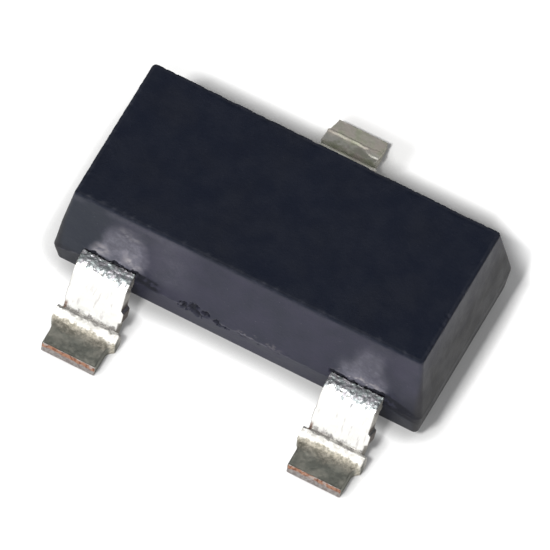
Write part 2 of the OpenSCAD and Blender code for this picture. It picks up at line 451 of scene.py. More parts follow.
def rounded_ring(half_x, half_y, front, back, counts):
    """Plan points of a rectangle with rounded corners, counter-clockwise from the left end of the front."""
    along_x, along_y, in_corner = counts
    # Points along a straight side, its start and end, and the corner after it: first direction and radius
    sides = (
        (along_x, (front - half_x, -half_y), (half_x - front, -half_y), -90, front),
        (along_y, (half_x, front - half_y), (half_x, half_y - back), 0, back),
        (along_x, (half_x - back, half_y), (back - half_x, half_y), 90, back),
        (along_y, (-half_x, half_y - back), (-half_x, front - half_y), 180, front),
    )
    points = []
    for count, start, end, direction, radius in sides:
        for k in range(count):
            points.append([a + (b - a) * k / count for a, b in zip(start, end)])
        turn = math.radians(direction)
        middle_x = end[0] - radius * math.cos(turn)
        middle_y = end[1] - radius * math.sin(turn)
        for k in range(in_corner):
            angle = turn + math.pi / 2 * k / in_corner
            points.append([middle_x + radius * math.cos(angle), middle_y + radius * math.sin(angle)])
    return np.array(points)


# How far inside the rounded edges the flat faces' own rings lie
FLAT_INSETS = (0.14 * MM, 0.08 * MM, 0.04 * MM, 0.018 * MM)
EDGE_STEPS = 5
CORNER_POINTS = 9
LEAST_RADIUS = 0.01 * MM
# The upright corners get a little tighter towards the underside
LOWER_TIGHTER = 0.15
# Two rings this far from the seam keep its edge crisp
SEAM_CRISP = 0.006 * MM


def moulding_rings(s):
    """Half length, half width, corner radii and height of each ring, from the underside to the top."""
    bottom, top, seam = BODY_LOW.z, BODY_HIGH.z, s.seam_height
    corners = (s.front_corner, s.back_corner)

    def side(z, inset=0.0):
        """The ring at a height on the drafted side, drawn in by inset."""
        if z >= seam:
            t = (z - seam) / (top - seam)
            dx, dy = s.end_draft * t, s.side_draft * t
            radii = [radius + (s.top_corner - radius) * t for radius in corners]
        else:
            t = (seam - z) / (seam - bottom)
            dx = dy = s.lower_draft * t
            radii = [radius * (1 - LOWER_TIGHTER * t) for radius in corners]
        front, back = (max(radius - inset / 2, LEAST_RADIUS) for radius in radii)
        return BODY_HALF_X - dx - inset, BODY_HALF_Y - dy - inset, front, back, z

    def sides(low, high):
        """Evenly spaced rings between two heights."""
        steps = max(4, round((high - low) / s.mesh_step))
        return [side(low + (high - low) * k / steps) for k in range(1, steps)]

    turns = [math.pi / 2 * k / EDGE_STEPS for k in range(EDGE_STEPS + 1)]
    # How far a quarter round has come, along the direction that it leaves and along the one it takes
    quarter = [(1 - math.cos(turn), math.sin(turn)) for turn in turns]
    lower, upper = s.bottom_edge, s.top_edge
    rings = [side(bottom, lower + inset) for inset in FLAT_INSETS]
    rings += [side(bottom + lower * left, lower * (1 - taken)) for left, taken in quarter]
    rings += sides(bottom + lower, seam)
    rings += [side(seam - SEAM_CRISP), side(seam), side(seam + SEAM_CRISP)]
    rings += sides(seam, top - upper)
    rings += [side(top - upper + upper * taken, upper * left) for left, taken in quarter]
    rings += [side(top, upper + inset) for inset in reversed(FLAT_INSETS)]
    return rings


def moulding_shape(s):
    """Points and faces of the body before its surface is worked: a stack of rings, closed at both ends."""
    counts = (round(2 * BODY_HALF_X / s.mesh_step), round(2 * BODY_HALF_Y / s.mesh_step), CORNER_POINTS)
    around = 2 * (counts[0] + counts[1]) + 4 * counts[2]
    points = []
    for half_x, half_y, front, back, z in moulding_rings(s):
        plan = rounded_ring(half_x, half_y, front, back, counts)
        points.append(np.column_stack([plan[:, 0], plan[:, 1] + BODY_MID_Y, np.full(around, z)]))
    last = (len(points) - 1) * around
    faces = []
    for ring in range(0, last, around):
        for j in range(around):
            a, b = ring + j, ring + (j + 1) % around
            faces.append((a, b, b + around, a + around))
    faces.append(tuple(range(around - 1, -1, -1)))
    faces.append(tuple(range(last, last + around)))
    return np.concatenate(points), faces


# The marks on the body. Their places and sizes are in millimetres, and heights are over the board.

# Place along the front, height over the parting line, half width and half height of each chip
CHIPS = (
    (-0.402, -0.002, 0.036, 0.044),
    (-0.328, 0.006, 0.034, 0.046),
    (-0.284, -0.022, 0.026, 0.034),
    (-0.240, 0.016, 0.026, 0.032),
    (-0.126, -0.016, 0.027, 0.029),
    (-0.068, -0.024, 0.026, 0.013),
)
# Place along the front, half width, height and half height of the densest spots of the left painted
# reflection
REFLECTION_SPOTS = (
    (-1.08, 0.10, 0.50, 0.08),
    (-0.82, 0.10, 0.53, 0.10),
    (-0.88, 0.12, 0.79, 0.09),
)
# Side of the middle, length, slope and half height of the painted shadow to the right of each front lead
LEAD_SHADOWS = (
    (-1, 0.19, 0.10, 0.058),
    (1, 0.29, 0.28, 0.072),
)
SKIN_RIPPLE = 0.0008
# The painted lead shadows sit in a shallow dip this deep, in millimetres
LEAD_SHADOW_DEPTH = 0.005
LEAD_TOP = LEAD_TOP_Z / MM
BODY_TOP = BODY_HIGH.z / MM
# How far from the body's middle the marks on the front lie, and the grooves
FRONT_FROM = 0.50
GROOVES_FROM = 0.45


def bell(value, middle, half_width):
    """1 at the middle, falling smoothly to 0 at half_width away."""
    return smooth_step(half_width - np.abs(value - middle), 0.0, half_width)


def patch(x, z, ends, heights, slant, soft):
    """1 inside a patch of a side, whose left edge moves to the right by slant with height."""
    low, high = heights
    left = ends[0] + slant * np.maximum(z - low, 0.0)
    inside = smooth_step(x, left - soft, left + soft) * smooth_step(ends[1] - x, -soft, soft)
    return inside * smooth_step(z, low - 0.012, low + 0.012) * smooth_step(high - z, -2 * soft, 2 * soft)


class Skin:
    """The body's points, with the rough noises and the mask of the front that its marks share."""

    def __init__(self, mesh):
        points = coordinates(mesh) / MM
        self.x, y, self.z = points.T
        self.behind = y - BODY_MID_Y / MM
        self.front = self.behind < -FRONT_FROM
        self.coarse = rough_noise(points, 0.11, 31)
        self.ragged = rough_noise(points, 0.05, 11)
        self.fine = rough_noise(points, 0.022, 21)
        self.ripple = rough_noise(points, 0.06, 5)


def grooves(skin, s):
    """The ragged groove over each lead."""
    leads = settings("leads")
    half_width = leads.width / 2 / MM + 0.016
    # The grooves at the front are cut a little to the left of their leads
    places = ((-leads.pitch / 2 / MM - 0.02, -1), (leads.pitch / 2 / MM - 0.02, -1), (0.0, 1))
    low = LEAD_TOP - 0.010
    high = LEAD_TOP + s.groove_height / MM * (0.85 + 2.4 * (skin.ragged - 0.5) + 1.2 * (skin.fine - 0.5))
    open_gap = smooth_step(skin.z, low, low + 0.006) * smooth_step(high - skin.z, 0.0, 0.010)
    groove = 0.0
    for middle, outwards in places:
        near = smooth_step(half_width - np.abs(skin.x - middle), 0.0, 0.014)
        groove = np.maximum(groove, near * open_gap * (outwards * skin.behind > GROOVES_FROM))
    return groove


def lead_reflections(skin):
    """Painted reflections of the front leads on the face above them, a paler veil beside each, and dabs of
    metal in and near them.
    """
    x, z = skin.x, skin.z
    low = LEAD_TOP + 0.030
    drifted = x + 0.12 * (skin.coarse - 0.5)
    left = patch(drifted, z, (-1.15, -0.745), (low, 0.76), 0.45, 0.060)
    right = patch(drifted, z, (0.760, 1.140), (low, 0.58), 0.10, 0.055)
    veil = patch(drifted, z, (0.80, 1.10), (low, 0.80), 0.30, 0.060)
    spots = [bell(x, at_x, wide) * bell(z, at_z, tall) for at_x, wide, at_z, tall in REFLECTION_SPOTS]
    spots = np.max(spots, axis=0)
    smear_and_reflection = np.max([left * (0.70 + 0.30 * spots), 0.66 * right, 0.45 * veil], axis=0)
    smear_and_reflection = smear_and_reflection * (0.72 + 0.28 * smooth_step(skin.ragged, 0.30, 0.62))
    beside = 0.16 * bell(x, -0.55, 0.26) + 0.07 * smooth_step(x, 1.10, 1.30)
    smear_and_reflection = np.maximum(smear_and_reflection, beside * smooth_step(z, low - 0.05, low + 0.08))
    smear_and_reflection = smear_and_reflection * skin.front * smooth_step(BODY_TOP - z, 0.004, 0.016)

    in_reflection = left * spots * smooth_step(skin.ragged, 0.34, 0.60)
    at_exit = smooth_step(skin.fine, 0.52, 0.66) * bell(z, low + 0.030, 0.060) * bell(x, 0.94, 0.24)
    at_seam = smooth_step(skin.fine, 0.55, 0.70) * bell(z, 0.372, 0.045) * bell(x, 0.16, 0.24)
    return smear_and_reflection, np.max([in_reflection, at_exit, 0.5 * at_seam], axis=0) * skin.front


def chips(skin, s):
    """Chips broken out of the parting line, most of them a little left of the middle of the front."""
    over_seam = skin.z - s.seam_height / MM
    amount = 0.10 + 0.20 * bell(skin.x, 0.15, 0.25) * skin.front
    broken = smooth_step(skin.fine * 0.6 + skin.ragged * 0.4, 0.64 - 0.19 * amount, 0.68 - 0.18 * amount)
    broken = broken * smooth_step(0.048 - np.abs(over_seam - 0.008), 0.0, 0.012) * amount
    uneven = 2.2 * (skin.fine - 0.5) + 1.4 * (skin.ragged - 0.5)
    for at_x, at_z, wide, tall in CHIPS:
        away = np.hypot((skin.x - at_x) / wide, (over_seam - at_z) / tall) + uneven
        broken = np.maximum(broken, smooth_step(1.08 - away, 0.0, 0.45) * skin.front)
    return broken


def lead_shadows(skin):
    """Painted shadow, dark on the parting line, which runs down to the right of each front lead."""
    leads = settings("leads")
    patchy = smooth_step(skin.ragged * 0.6 + skin.fine * 0.4, 0.30, 0.46)
    lead_shadow = 0.0
    for side, span, slope, reach in LEAD_SHADOWS:
        beyond = skin.x - (side * leads.pitch + leads.width) / 2 / MM
        level = LEAD_TOP - 0.010 - slope * np.clip(beyond, 0.0, span)
        along = smooth_step(beyond / span, -0.25, -0.10) * smooth_step(1 - beyond / span, 0.0, 0.55)
        near = smooth_step(reach - np.abs(skin.z - level), 0.0, 0.030)
        lead_shadow = np.maximum(lead_shadow, along * near * patchy * skin.front)
    return lead_shadow


def top_edge(skin, s):
    """The rim round the top, and the nicks in it."""
    half_x = (BODY_HALF_X - s.end_draft - s.top_edge) / MM - 0.014
    half_y = (BODY_HALF_Y - s.side_draft - s.top_edge) / MM - 0.014
    beyond = np.maximum(np.abs(skin.x) - half_x, np.abs(skin.behind) - half_y)
    ring = smooth_step(skin.z, BODY_TOP - 0.022, BODY_TOP - 0.006)
    patchy = smooth_step(skin.ragged * 0.5 + skin.fine * 0.5, 0.47, 0.66)
    return ring * smooth_step(beyond, 0.0, 0.010), ring * smooth_step(beyond, 0.0, 0.012) * patchy


def rubbed(skin, s, rim):
    """Where the compound is rubbed pale: the rim, a band just under it, and the parting line."""
    on_rim = rim * smooth_step(skin.ragged, 0.38, 0.75)
    under_rim = bell(skin.z, BODY_TOP - 0.045, 0.05) * smooth_step(skin.coarse, 0.25, 0.60)
    under_rim = under_rim * (0.16 + 0.84 * smooth_step(-skin.x, 0.35, 0.75))
    on_seam = smooth_step(0.012 - np.abs(skin.z - s.seam_height / MM), 0.0, 0.012)
    on_seam = on_seam * smooth_step(skin.ragged, 0.35, 0.75)
    on_seam = on_seam * (0.18 + 0.55 * bell(skin.x, 0.14, 0.22) * skin.front)
    return np.max([on_seam, 0.05 * on_rim, 0.11 * under_rim], axis=0)


def work_moulding(mesh, s):
    """Cuts grooves, chips and nicks into the body and stores where it is worn, where the leads' painted
    reflection lies and where painted shade lies.
    """
    skin = Skin(mesh)
    groove, broken, lead_shadow = grooves(skin, s), chips(skin, s), lead_shadows(skin)
    rim, nick = top_edge(skin, s)
    smear_and_reflection, dabs = lead_reflections(skin)
    depth = s.groove_depth * groove + s.chip_depth * broken + s.edge_chip * nick
    depth = depth + (SKIN_RIPPLE * skin.ripple + LEAD_SHADOW_DEPTH * lead_shadow) * MM
    worked = coordinates(mesh) - vertex_normals(mesh) * depth[:, None]
    # The parting line runs down a little towards the front left corner
    corner = smooth_step(-skin.x, 1.17, 1.42) * smooth_step(-skin.behind, 0.10, 0.62)
    worked[:, 2] -= s.corner_sag * corner * bell(skin.z, s.seam_height / MM, 0.24)
    place_points(mesh, worked)
    store(mesh, "wear", rubbed(skin, s, rim))
    store(mesh, "rim", rim)
    store(mesh, "smear_and_reflection", smear_and_reflection)
    store(mesh, "dabs", dabs)
    # Painted shade, near black, in the chips, the grooves over the leads and the painted lead shadows
    store(mesh, "painted_shade", np.clip(0.88 * broken + 1.6 * groove + 1.5 * lead_shadow, 0.0, 1.0))


# Points round the ejector mark, and how far its wall leans
EJECTOR_POINTS = 96
EJECTOR_SLOPE = 0.006 * MM


def ejector_mark(mesh, s):
    """Presses the ejector pin's round mark into the flat underside."""
    work = bmesh.new()
    work.from_mesh(mesh)
    underside = max(work.faces, key=lambda face: len(face.verts) if face.normal.z < -0.9 else 0)
    outline = list(underside.verts)
    bmesh.ops.delete(work, geom=[underside], context="FACES_ONLY")
    radius, depth = s.ejector_width / 2, s.ejector_depth
    loops = []
    for away, up in ((radius + EJECTOR_SLOPE, 0.0), (radius, 0.0), (radius - EJECTOR_SLOPE, depth)):
        loop = []
        for k in range(EJECTOR_POINTS):
            turn = -2 * math.pi * k / EJECTOR_POINTS
            point = (away * math.cos(turn), BODY_MID_Y + away * math.sin(turn), BODY_LOW.z + up)
            loop.append(work.verts.new(point))
        loops.append(loop)
    for first, second in zip(loops, loops[1:]):
        for k in range(EJECTOR_POINTS):
            j = (k + 1) % EJECTOR_POINTS
            work.faces.new((first[k], first[j], second[j], second[k]))
    work.faces.new(loops[-1])
    edges = []
    for loop in (outline, loops[0]):
        for vert, other in zip(loop, loop[1:] + loop[:1]):
            edges.append(work.edges.get((vert, other)) or work.edges.new((vert, other)))
    bmesh.ops.triangle_fill(work, use_beauty=True, use_dissolve=False, edges=edges)
    bmesh.ops.recalc_face_normals(work, faces=work.faces)
    work.to_mesh(mesh)
    work.free()
    mesh.update()


# Colours of the compound, beside those in the settings
SIDE_BLUE = (0.0070, 0.0085, 0.0225)
SIDE_GREY = (0.0200, 0.0190, 0.0380)
LEFT_SHADE = (0.0020, 0.0060, 0.0150)
LOW_STRIP_PAINTED_SHADE = (0.0015, 0.0030, 0.0100)
CORNER_PAINTED_SHADE = (0.0020, 0.0035, 0.0110)
TOP_CLOUD = (0.0100, 0.0112, 0.0165)
METAL_DAB = (0.40, 0.37, 0.37)
PAINTED_SHADE_BLACK = (0.0012, 0.0018, 0.0070)
# The angle from which an edge of the body is sharp
BODY_SHARP = math.radians(35)


def compound_side(g, x, z, blotch):
    """The sides are greyer than the top and blotched, and darker at the left; painted shade darkens the low
    strip near each end and the lower right front corner.
    """
    side = g.blend(g.step(blotch, 0.30, 0.72), SIDE_BLUE, SIDE_GREY)
    side = g.blend(g.step(x, -0.80, -1.20, 0.0, 0.85), side, LEFT_SHADE)
    # Painted shade on the low strip near each end
    strip_end = g.times(g.step(z, 0.37, 0.33), g.step(g.math("ABSOLUTE", x), 0.85, 1.10), 0.9)
    side = g.blend(strip_end, side, LOW_STRIP_PAINTED_SHADE)
    # Painted shade on the lower right front corner
    under_slant = g.step(g.math("MULTIPLY_ADD", x, -0.35, z), 0.20, 0.02)
    return g.blend(g.times(under_slant, g.step(x, 1.14, 1.34), 0.85), side, CORNER_PAINTED_SHADE)


def compound_material(s):
    """Black moulding compound: fine filler grain, rubbed edges, painted reflections over the leads, painted
    shade in hollows and low near the ends, and browner ends.
    """
    material, g, shader, place = new_material("moulding compound")
    cloud = g.noise(place, 2.1, 4.0, 0.55)
    blotch = g.noise(place, 5.5, 5.0, 0.62)
    streak = g.noise(place, (7.0, 7.0, 11.0), 4.0, 0.65)
    grain = g.noise(place, 46.0, 3.0, 0.65)
    x, _, z = g.split(place)
    end = BODY_HIGH.x / MM
    at_end = g.step(g.math("ABSOLUTE", x), end - 0.085, end - 0.035)
    on_side = g.step(z, BODY_TOP, BODY_TOP - 0.04)
    painted_shade = g.attribute("painted_shade")

    top = g.blend(g.step(cloud, 0.38, 0.75, 0.0, 0.30), s.compound, TOP_CLOUD)
    base = g.blend(on_side, top, compound_side(g, x, z, blotch))
    base = g.blend(g.times(at_end, g.step(streak, 0.25, 0.75, 0.55, 1.0)), base, s.compound_warm)
    flecks = g.times(g.step(g.voronoi(place, 30.0), 0.15, 0.05), g.step(grain, 0.48, 0.70))
    flecks = g.times(flecks, g.step(on_side, 0.0, 1.0, 0.06, 0.30))
    worn = g.times(g.attribute("wear"), g.step(grain, 0.25, 0.60, 0.35, 1.0))
    # Painted reflection of the leads, streaked
    smear_and_reflection = g.times(g.attribute("smear_and_reflection"), g.step(streak, 0.34, 0.66, 0.62, 1.0))
    smear_and_reflection = g.times(smear_and_reflection, g.step(grain, 0.35, 0.75, 0.8, 1.1))
    for amount in (flecks, worn, smear_and_reflection):
        base = g.blend(amount, base, s.compound_worn_and_reflection)
    base = g.blend(g.times(g.attribute("dabs"), 0.75), base, METAL_DAB)
    # Painted shade in the hollows
    base = g.blend(g.times(painted_shade, 0.95), base, PAINTED_SHADE_BLACK)

    rough = g.plus(g.step(blotch, 0.3, 0.7, 0.42, 0.54), g.times(painted_shade, 0.30), g.times(at_end, 0.08))
    rough = g.math("ADD", rough, g.times(g.attribute("rim"), 0.40), clamp=True)
    g.fill(shader, Base_Color=base, Roughness=rough, IOR=1.42)
    bump(g, shader, g.plus(g.times(grain, 0.7), g.times(g.noise(place, 15.0), 0.6)), 0.0016 * MM)
    return material


class BuildMoulding(bpy.types.Operator):
    """Build the drafted black body with its seam, chips and worn edges"""

    bl_idname = "regulator.build_moulding"
    bl_label = "Moulded body"

    def execute(self, context):
        s = settings("moulding")
        points, faces = moulding_shape(s)
        mesh = mesh_from("moulded_body", points, faces)
        work_moulding(mesh, s)
        ejector_mark(mesh, s)
        mesh.shade_smooth()
        mesh.set_sharp_from_angle(angle=BODY_SHARP)
        mesh.materials.append(compound_material(s))
        finish_piece(new_object("moulded_body", mesh), "mould_compound", "mould_body")
        return {"FINISHED"}


# Leads

def bent_path(s, reach, inner):
    """Distances from the body's middle and heights along a lead's middle line, and where its heel starts."""
    half = s.thickness / 2
    radius = s.inside_radius + half
    angle = s.bend_angle
    start_z = LEAD_TOP_Z - half
    slope = (start_z - half - 2 * radius * (1 - math.cos(angle))) / math.sin(angle)
    knee = s.first_bend + radius * math.sin(angle)
    knee_z = start_z - radius * (1 - math.cos(angle))
    heel = knee + slope * math.cos(angle) + radius * math.sin(angle)
    stretches = (s.first_bend - inner, radius * angle, slope, radius * angle, reach - heel)
    total = sum(stretches)

    def at(run):
        left = run
        if left <= stretches[0]:
            return inner + left, start_z
        left -= stretches[0]
        if left <= stretches[1]:
            turned = left / radius
            return s.first_bend + radius * math.sin(turned), start_z - radius * (1 - math.cos(turned))
        left -= stretches[1]
        if left <= stretches[2]:
            return knee + left * math.cos(angle), knee_z - left * math.sin(angle)
        left -= stretches[2]
        if left <= stretches[3]:
            turned = angle - left / radius
            return heel - radius * math.sin(turned), half + radius * (1 - math.cos(turned))
        return heel + left - stretches[3], half

    return np.array([at(total * k / (s.stations - 1)) for k in range(s.stations)]), heel


def new_tree(name, inputs):
    """A geometry node group, its graph, the sockets that it is given and the socket of its result."""
    tree = bpy.data.node_groups.new(name, "GeometryNodeTree")
    for label, kind in (("Geometry", "Geometry"), *inputs):
        tree.interface.new_socket(label, in_out="INPUT", socket_type="NodeSocket" + kind)
    tree.interface.new_socket("Geometry", in_out="OUTPUT", socket_type="NodeSocketGeometry")
    g = Graph(tree)
    return tree, g, g.add("NodeGroupInput").outputs, g.add("NodeGroupOutput").inputs[0]


def run_tree(thing, tree, values):
    """Puts a node group on an object and sets its inputs by their identifiers."""
    modifier = thing.modifiers.new("shape", "NODES")
    modifier.node_group = tree
    for item in tree.interface.items_tree:
        if item.in_out == "INPUT" and item.name in values:
            modifier[item.identifier] = values[item.name]
    thing.data.update()


def end_tree(g, result, geometry, move, finish):
    """Moves the geometry to its place, makes its instances real and gives it its material."""
    placed = g.make("GeometryNodeSetPosition", Geometry=geometry, Offset=move)
    real = g.make("GeometryNodeRealizeInstances", Geometry=placed)
    g.put(result, g.make("GeometryNodeSetMaterial", Geometry=real, Material=finish))


def swept_strip(g, given):
    """The strip's rounded cross-section, swept along the path."""
    rail = g.make("GeometryNodeMeshToCurve", Mesh=given["Geometry"])
    rail = g.make("GeometryNodeSetCurveNormal", {"mode": "Z_UP"}, Curve=rail)
    width, height, radius = given["Width"], given["Thickness"], given["Edge Radius"]
    section = g.make("GeometryNodeCurvePrimitiveQuadrilateral", Width=width, Height=height)
    section = g.make("GeometryNodeFilletCurve", {"mode": "POLY"}, Curve=section, Count=4, Radius=radius)
    around = given["Points Around"]
    section = g.make("GeometryNodeResampleCurve", {"mode": "COUNT"}, Curve=section, Count=around)
    return g.make("GeometryNodeCurveToMesh", Curve=rail, Profile_Curve=section, Fill_Caps=True)


def formed_place(g, given):
    """Where a point of the strip goes: out at the heel and stubs, up at the heel, back at the toe's top."""
    x, y, z = g.split(g.make("GeometryNodeInputPosition"))
    on_right = g.math("GREATER_THAN", x, 0.0)
    on_left = g.math("SUBTRACT", 1.0, on_right)
    wide = g.plus(g.times(g.along("wide_right"), on_right), g.times(g.along("wide_left"), on_left))
    shrink = g.along("shrink")
    half = g.times(given["Thickness"], 0.5)
    height = g.math("MULTIPLY_ADD", g.math("SUBTRACT", z, half), shrink, half)
    lean = g.times(g.math("DIVIDE", height, given["Thickness"]), g.along("toe_end"))
    lean = g.times(lean, given["Toe Slant"], given["Outwards"])
    sideways = g.math("MULTIPLY_ADD", g.times(x, wide), shrink, g.along("shift"))
    return g.join(sideways, g.math("SUBTRACT", y, lean), g.times(height, g.along("tall")))


def dents(g, given, place):
    """Dents where the die gripped the strip, and a fine unevenness everywhere."""
    cells = g.voronoi(place, 36.0, feature="SMOOTH_F1")
    rough = g.noise(place, 60.0, 2.0, 0.6)
    deep = g.math("SUBTRACT", g.plus(cells, g.times(rough, 0.8)), 1.0)
    wave = g.math("SUBTRACT", g.noise(place, 16.0, 3.0, 0.6), 0.6)
    return g.plus(g.times(deep, given["Hammering"], g.along("hammer")), g.times(wave, given["Ripple"], 2.0))


def crease(g, given, jagged):
    """The ragged line between slope and heel."""
    run = g.plus(g.ragged(g.along("heel_run"), jagged, 0.080), 0.006)
    return g.times(g.step(g.math("ABSOLUTE", run), 0.022, 0.004), given["Crease Depth"])


# The flap at the burr's end, in millimetres: its place across and along the foot, and its half sizes
FLAP_PLACE = (0.150, 0.086)
FLAP_SIZE = (0.072, 0.036)


def burr(g, given, jagged, x):
    """The burr across a foot, which ends in a small flap folded over near the right end."""
    heel_run = g.along("heel_run")
    run = g.math("SUBTRACT", g.ragged(heel_run, jagged, 0.022), given["Ridge Place"])
    ridge = g.times(g.step(g.math("ABSOLUTE", run), 0.016, 0.002), g.step(x, 0.110, 0.070))
    across, along = (
        g.math("DIVIDE", g.math("SUBTRACT", value, middle), half)
        for value, middle, half in zip((x, heel_run), FLAP_PLACE, FLAP_SIZE)
    )
    from_flap = g.vector("LENGTH", g.join(across, g.ragged(along, jagged, 0.8)))
    return g.times(g.math("MAXIMUM", ridge, g.step(from_flap, 1.10, 0.82, 0.0, 1.1)), given["Ridge Height"])


def lead_tree():
    """Node group that sweeps a strip along a path and forms its heel, cut toe, dents, crease and burr."""
    tree, g, given, result = new_tree("Formed lead", (
        ("Width", "Float"), ("Thickness", "Float"), ("Edge Radius", "Float"), ("Points Around", "Int"),
        ("Toe Slant", "Float"), ("Hammering", "Float"), ("Ripple", "Float"), ("Crease Depth", "Float"),
        ("Ridge Height", "Float"), ("Ridge Place", "Float"), ("Seed", "Float"), ("Place", "Vector"),
        ("Outwards", "Float"), ("Finish", "Material"),
    ))
    strip = swept_strip(g, given)
    shaped = g.make("GeometryNodeSetPosition", Geometry=strip, Position=formed_place(g, given))
    in_mm = g.vector("SCALE", g.make("GeometryNodeInputPosition"), Scale=1 / MM)
    shifted = g.vector("ADD", in_mm, g.join(given["Seed"], given["Seed"]))
    jagged = g.noise(shifted, 24.0, 2.0, 0.7)
    normal = g.make("GeometryNodeInputNormal")
    lines = g.math("SUBTRACT", burr(g, given, jagged, g.split(in_mm)[0]), crease(g, given, jagged))
    on_top = g.times(lines, g.step(g.split(normal)[2], 0.2, 0.5))
    offset = g.vector("SCALE", normal, Scale=g.plus(dents(g, given, shifted), on_top))
    dented = g.make("GeometryNodeSetPosition", Geometry=shaped, Offset=offset)
    end_tree(g, result, dented, given["Place"], given["Finish"])
    return tree


def ear(heel_run, heel_length, fade, hollow):
    """1 across the heel's length, with a quick start and a more or less hollow curve down to the toe."""
    gone = np.clip((heel_run - heel_length) / fade, 0.0, 1.0)
    return smooth_step(heel_run, -0.012, 0.002) * (1 - gone) ** hollow


def softened(value, places, heights, spread):
    """Heights joined by straight lines, with their corners rounded over the given spread."""
    shifts = np.linspace(-1.0, 1.0, 9) * spread
    return np.mean([np.interp(value + shift, places, heights) for shift in shifts], axis=0)


# Ever smaller rings cover the cut face, this far apart
CUT_RINGS = (1.0, 0.985, 0.95, 0.88, 0.76, 0.62, 0.46, 0.30, 0.14, 0.03)
CUT_RING_STEP = 0.00005 * MM
# How far inside the face the swept strip starts, and where the anchor from the CAD part takes over
STRIP_INSIDE = 0.16 * MM
ANCHOR_INSIDE = 0.15 * MM
# The angle from which an edge of a lead is sharp
LEAD_SHARP = math.radians(42)


def lead_profile(s, dist, heel, reach, front, left):
    """How a lead changes along its length: the numbers that its node group and its material read."""
    # Millimetres from the body's face, from the heel and from the middle of the slope
    run, heel_run = (dist - BODY_HALF_Y) / MM, (dist - heel) / MM
    slope_run = (dist - (s.first_bend + heel) / 2) / MM
    heel_length = s.heel_length / MM
    heel_end = heel + s.heel_length
    shrink = np.ones(len(dist))
    shrink[-len(CUT_RINGS):] = CUT_RINGS
    at_cut = np.zeros(len(dist))
    at_cut[-len(CUT_RINGS) + 1:] = 1.0

    # The ears stand out at the heel, and the torn stubs a little below the middle of the slope
    ear_size = (s.heel_width if front else s.rear_heel_width) / s.width - 1
    stub = (s.stub_width / s.width - 1) * smooth_step(0.030 - np.abs(slope_run - 0.015), 0.0, 0.012)
    if front:
        left_ear = ear(heel_run, heel_length, 0.100, 2.2)
        right_ear = ear(heel_run, heel_length, 0.060, 2.2)
        cut_in = 0.0
    else:
        # The rear foot has no ear on its right side, and was cut narrower there
        left_ear = ear(heel_run, heel_length, 0.120, 1.1)
        right_ear = 0.0
        cut_in = 0.75 * smooth_step(heel_run, -0.04, 0.02) + 0.25 * smooth_step(dist, heel_end, reach)
        cut_in = cut_in * s.foot_cut_in / (s.width / 2)

    # The heel slopes down from the crease, and the toe goes on thinning to its cut end
    knots = ((heel - 0.05 * MM, 0.0), (heel, s.heel_rise), (heel_end, -s.heel_fall), (reach, -s.toe_taper))
    rise = softened(dist, *zip(*knots), 0.016 * MM)
    # The left lead leans most, and a lead leans more the nearer it is to the body
    lean = s.lean * (1.0 if left else 0.4) * smooth_step(heel - dist, 0.0, heel - BODY_HALF_Y)
    # The die's dents are deepest next to the body, and fainter on the crease and on the toe
    grip = smooth_step(0.086 - run, 0.0, 0.035)
    at_crease = 0.5 * bell(heel_run, 0.0, 0.020) if front else 0.0
    on_toe = 0.16 * smooth_step(heel_run - heel_length, 0.0, 0.04)
    return {
        "wide_left": 1 + ear_size * left_ear + 0.3 * stub,
        "wide_right": 1 + ear_size * right_ear + 1.1 * stub - cut_in,
        "tall": 1 + rise / s.thickness,
        "shrink": shrink,
        "cut_toe": at_cut,
        "toe_end": smooth_step((dist - reach) / MM, -0.010, -0.002),
        "shift": -s.offset - lean if front else 0.0 * dist,
        "hammer": grip + at_crease + on_toe,
        "run": run,
        "heel_run": heel_run,
    }


def form_lead(name, middle, outwards, reach, seed, tree, finish):
    """One lead outside the body, with the stretch that runs into it."""
    s = settings("leads")
    front = outwards < 0
    rows, heel = bent_path(s, reach, BODY_HALF_Y - STRIP_INSIDE)
    tip = [(reach + CUT_RING_STEP * k, s.thickness / 2) for k in range(len(CUT_RINGS))]
    dist, height = np.concatenate([rows[:-1], tip]).T
    path = np.column_stack([0.0 * dist, BODY_MID_Y + outwards * dist, height])
    mesh = mesh_from(name + "_path", path, edges=[(k, k + 1) for k in range(len(path) - 1)])
    for attribute, values in lead_profile(s, dist, heel, reach, front, middle < 0).items():
        store(mesh, attribute, values)

    thing = new_object(name + "_path", mesh)
    run_tree(thing, tree, {
        "Width": s.width, "Thickness": s.thickness, "Edge Radius": s.edge_radius, "Points Around": s.around,
        "Toe Slant": s.toe_slant, "Hammering": s.hammer, "Ripple": s.ripple,
        "Crease Depth": s.crease_depth if front else 0.0,
        "Ridge Height": 0.0 if front else s.ridge_height,
        "Ridge Place": s.ridge_place / MM, "Seed": seed,
        "Place": (middle, 0.0, 0.0), "Outwards": float(outwards), "Finish": finish,
    })
    lead = baked(thing, name)
    face_outwards(lead.data)
    mark_cuts(lead.data, middle, outwards, reach)
    return lead


def mark_cuts(mesh, middle, outwards, reach):
    """Keeps the lead inside its box and stores how much each point lies on the cut long sides."""
    s = settings("leads")
    points = coordinates(mesh)
    points[:, 2] = np.maximum(points[:, 2], 0.0)
    tip = BODY_MID_Y + outwards * reach
    points[:, 1] = np.where(outwards < 0, np.maximum(points[:, 1], tip), np.minimum(points[:, 1], tip))
    half_heel = s.heel_width / 2
    points[:, 0] = np.clip(points[:, 0], middle - half_heel, middle + half_heel)
    place_points(mesh, points)
    mesh.set_sharp_from_angle(angle=LEAD_SHARP)
    store(mesh, "cut_side", smooth_step(np.abs(vertex_normals(mesh)[:, 0]), 0.62, 0.90))
    store(mesh, "across", (points[:, 0] - middle) / (s.width / 2))


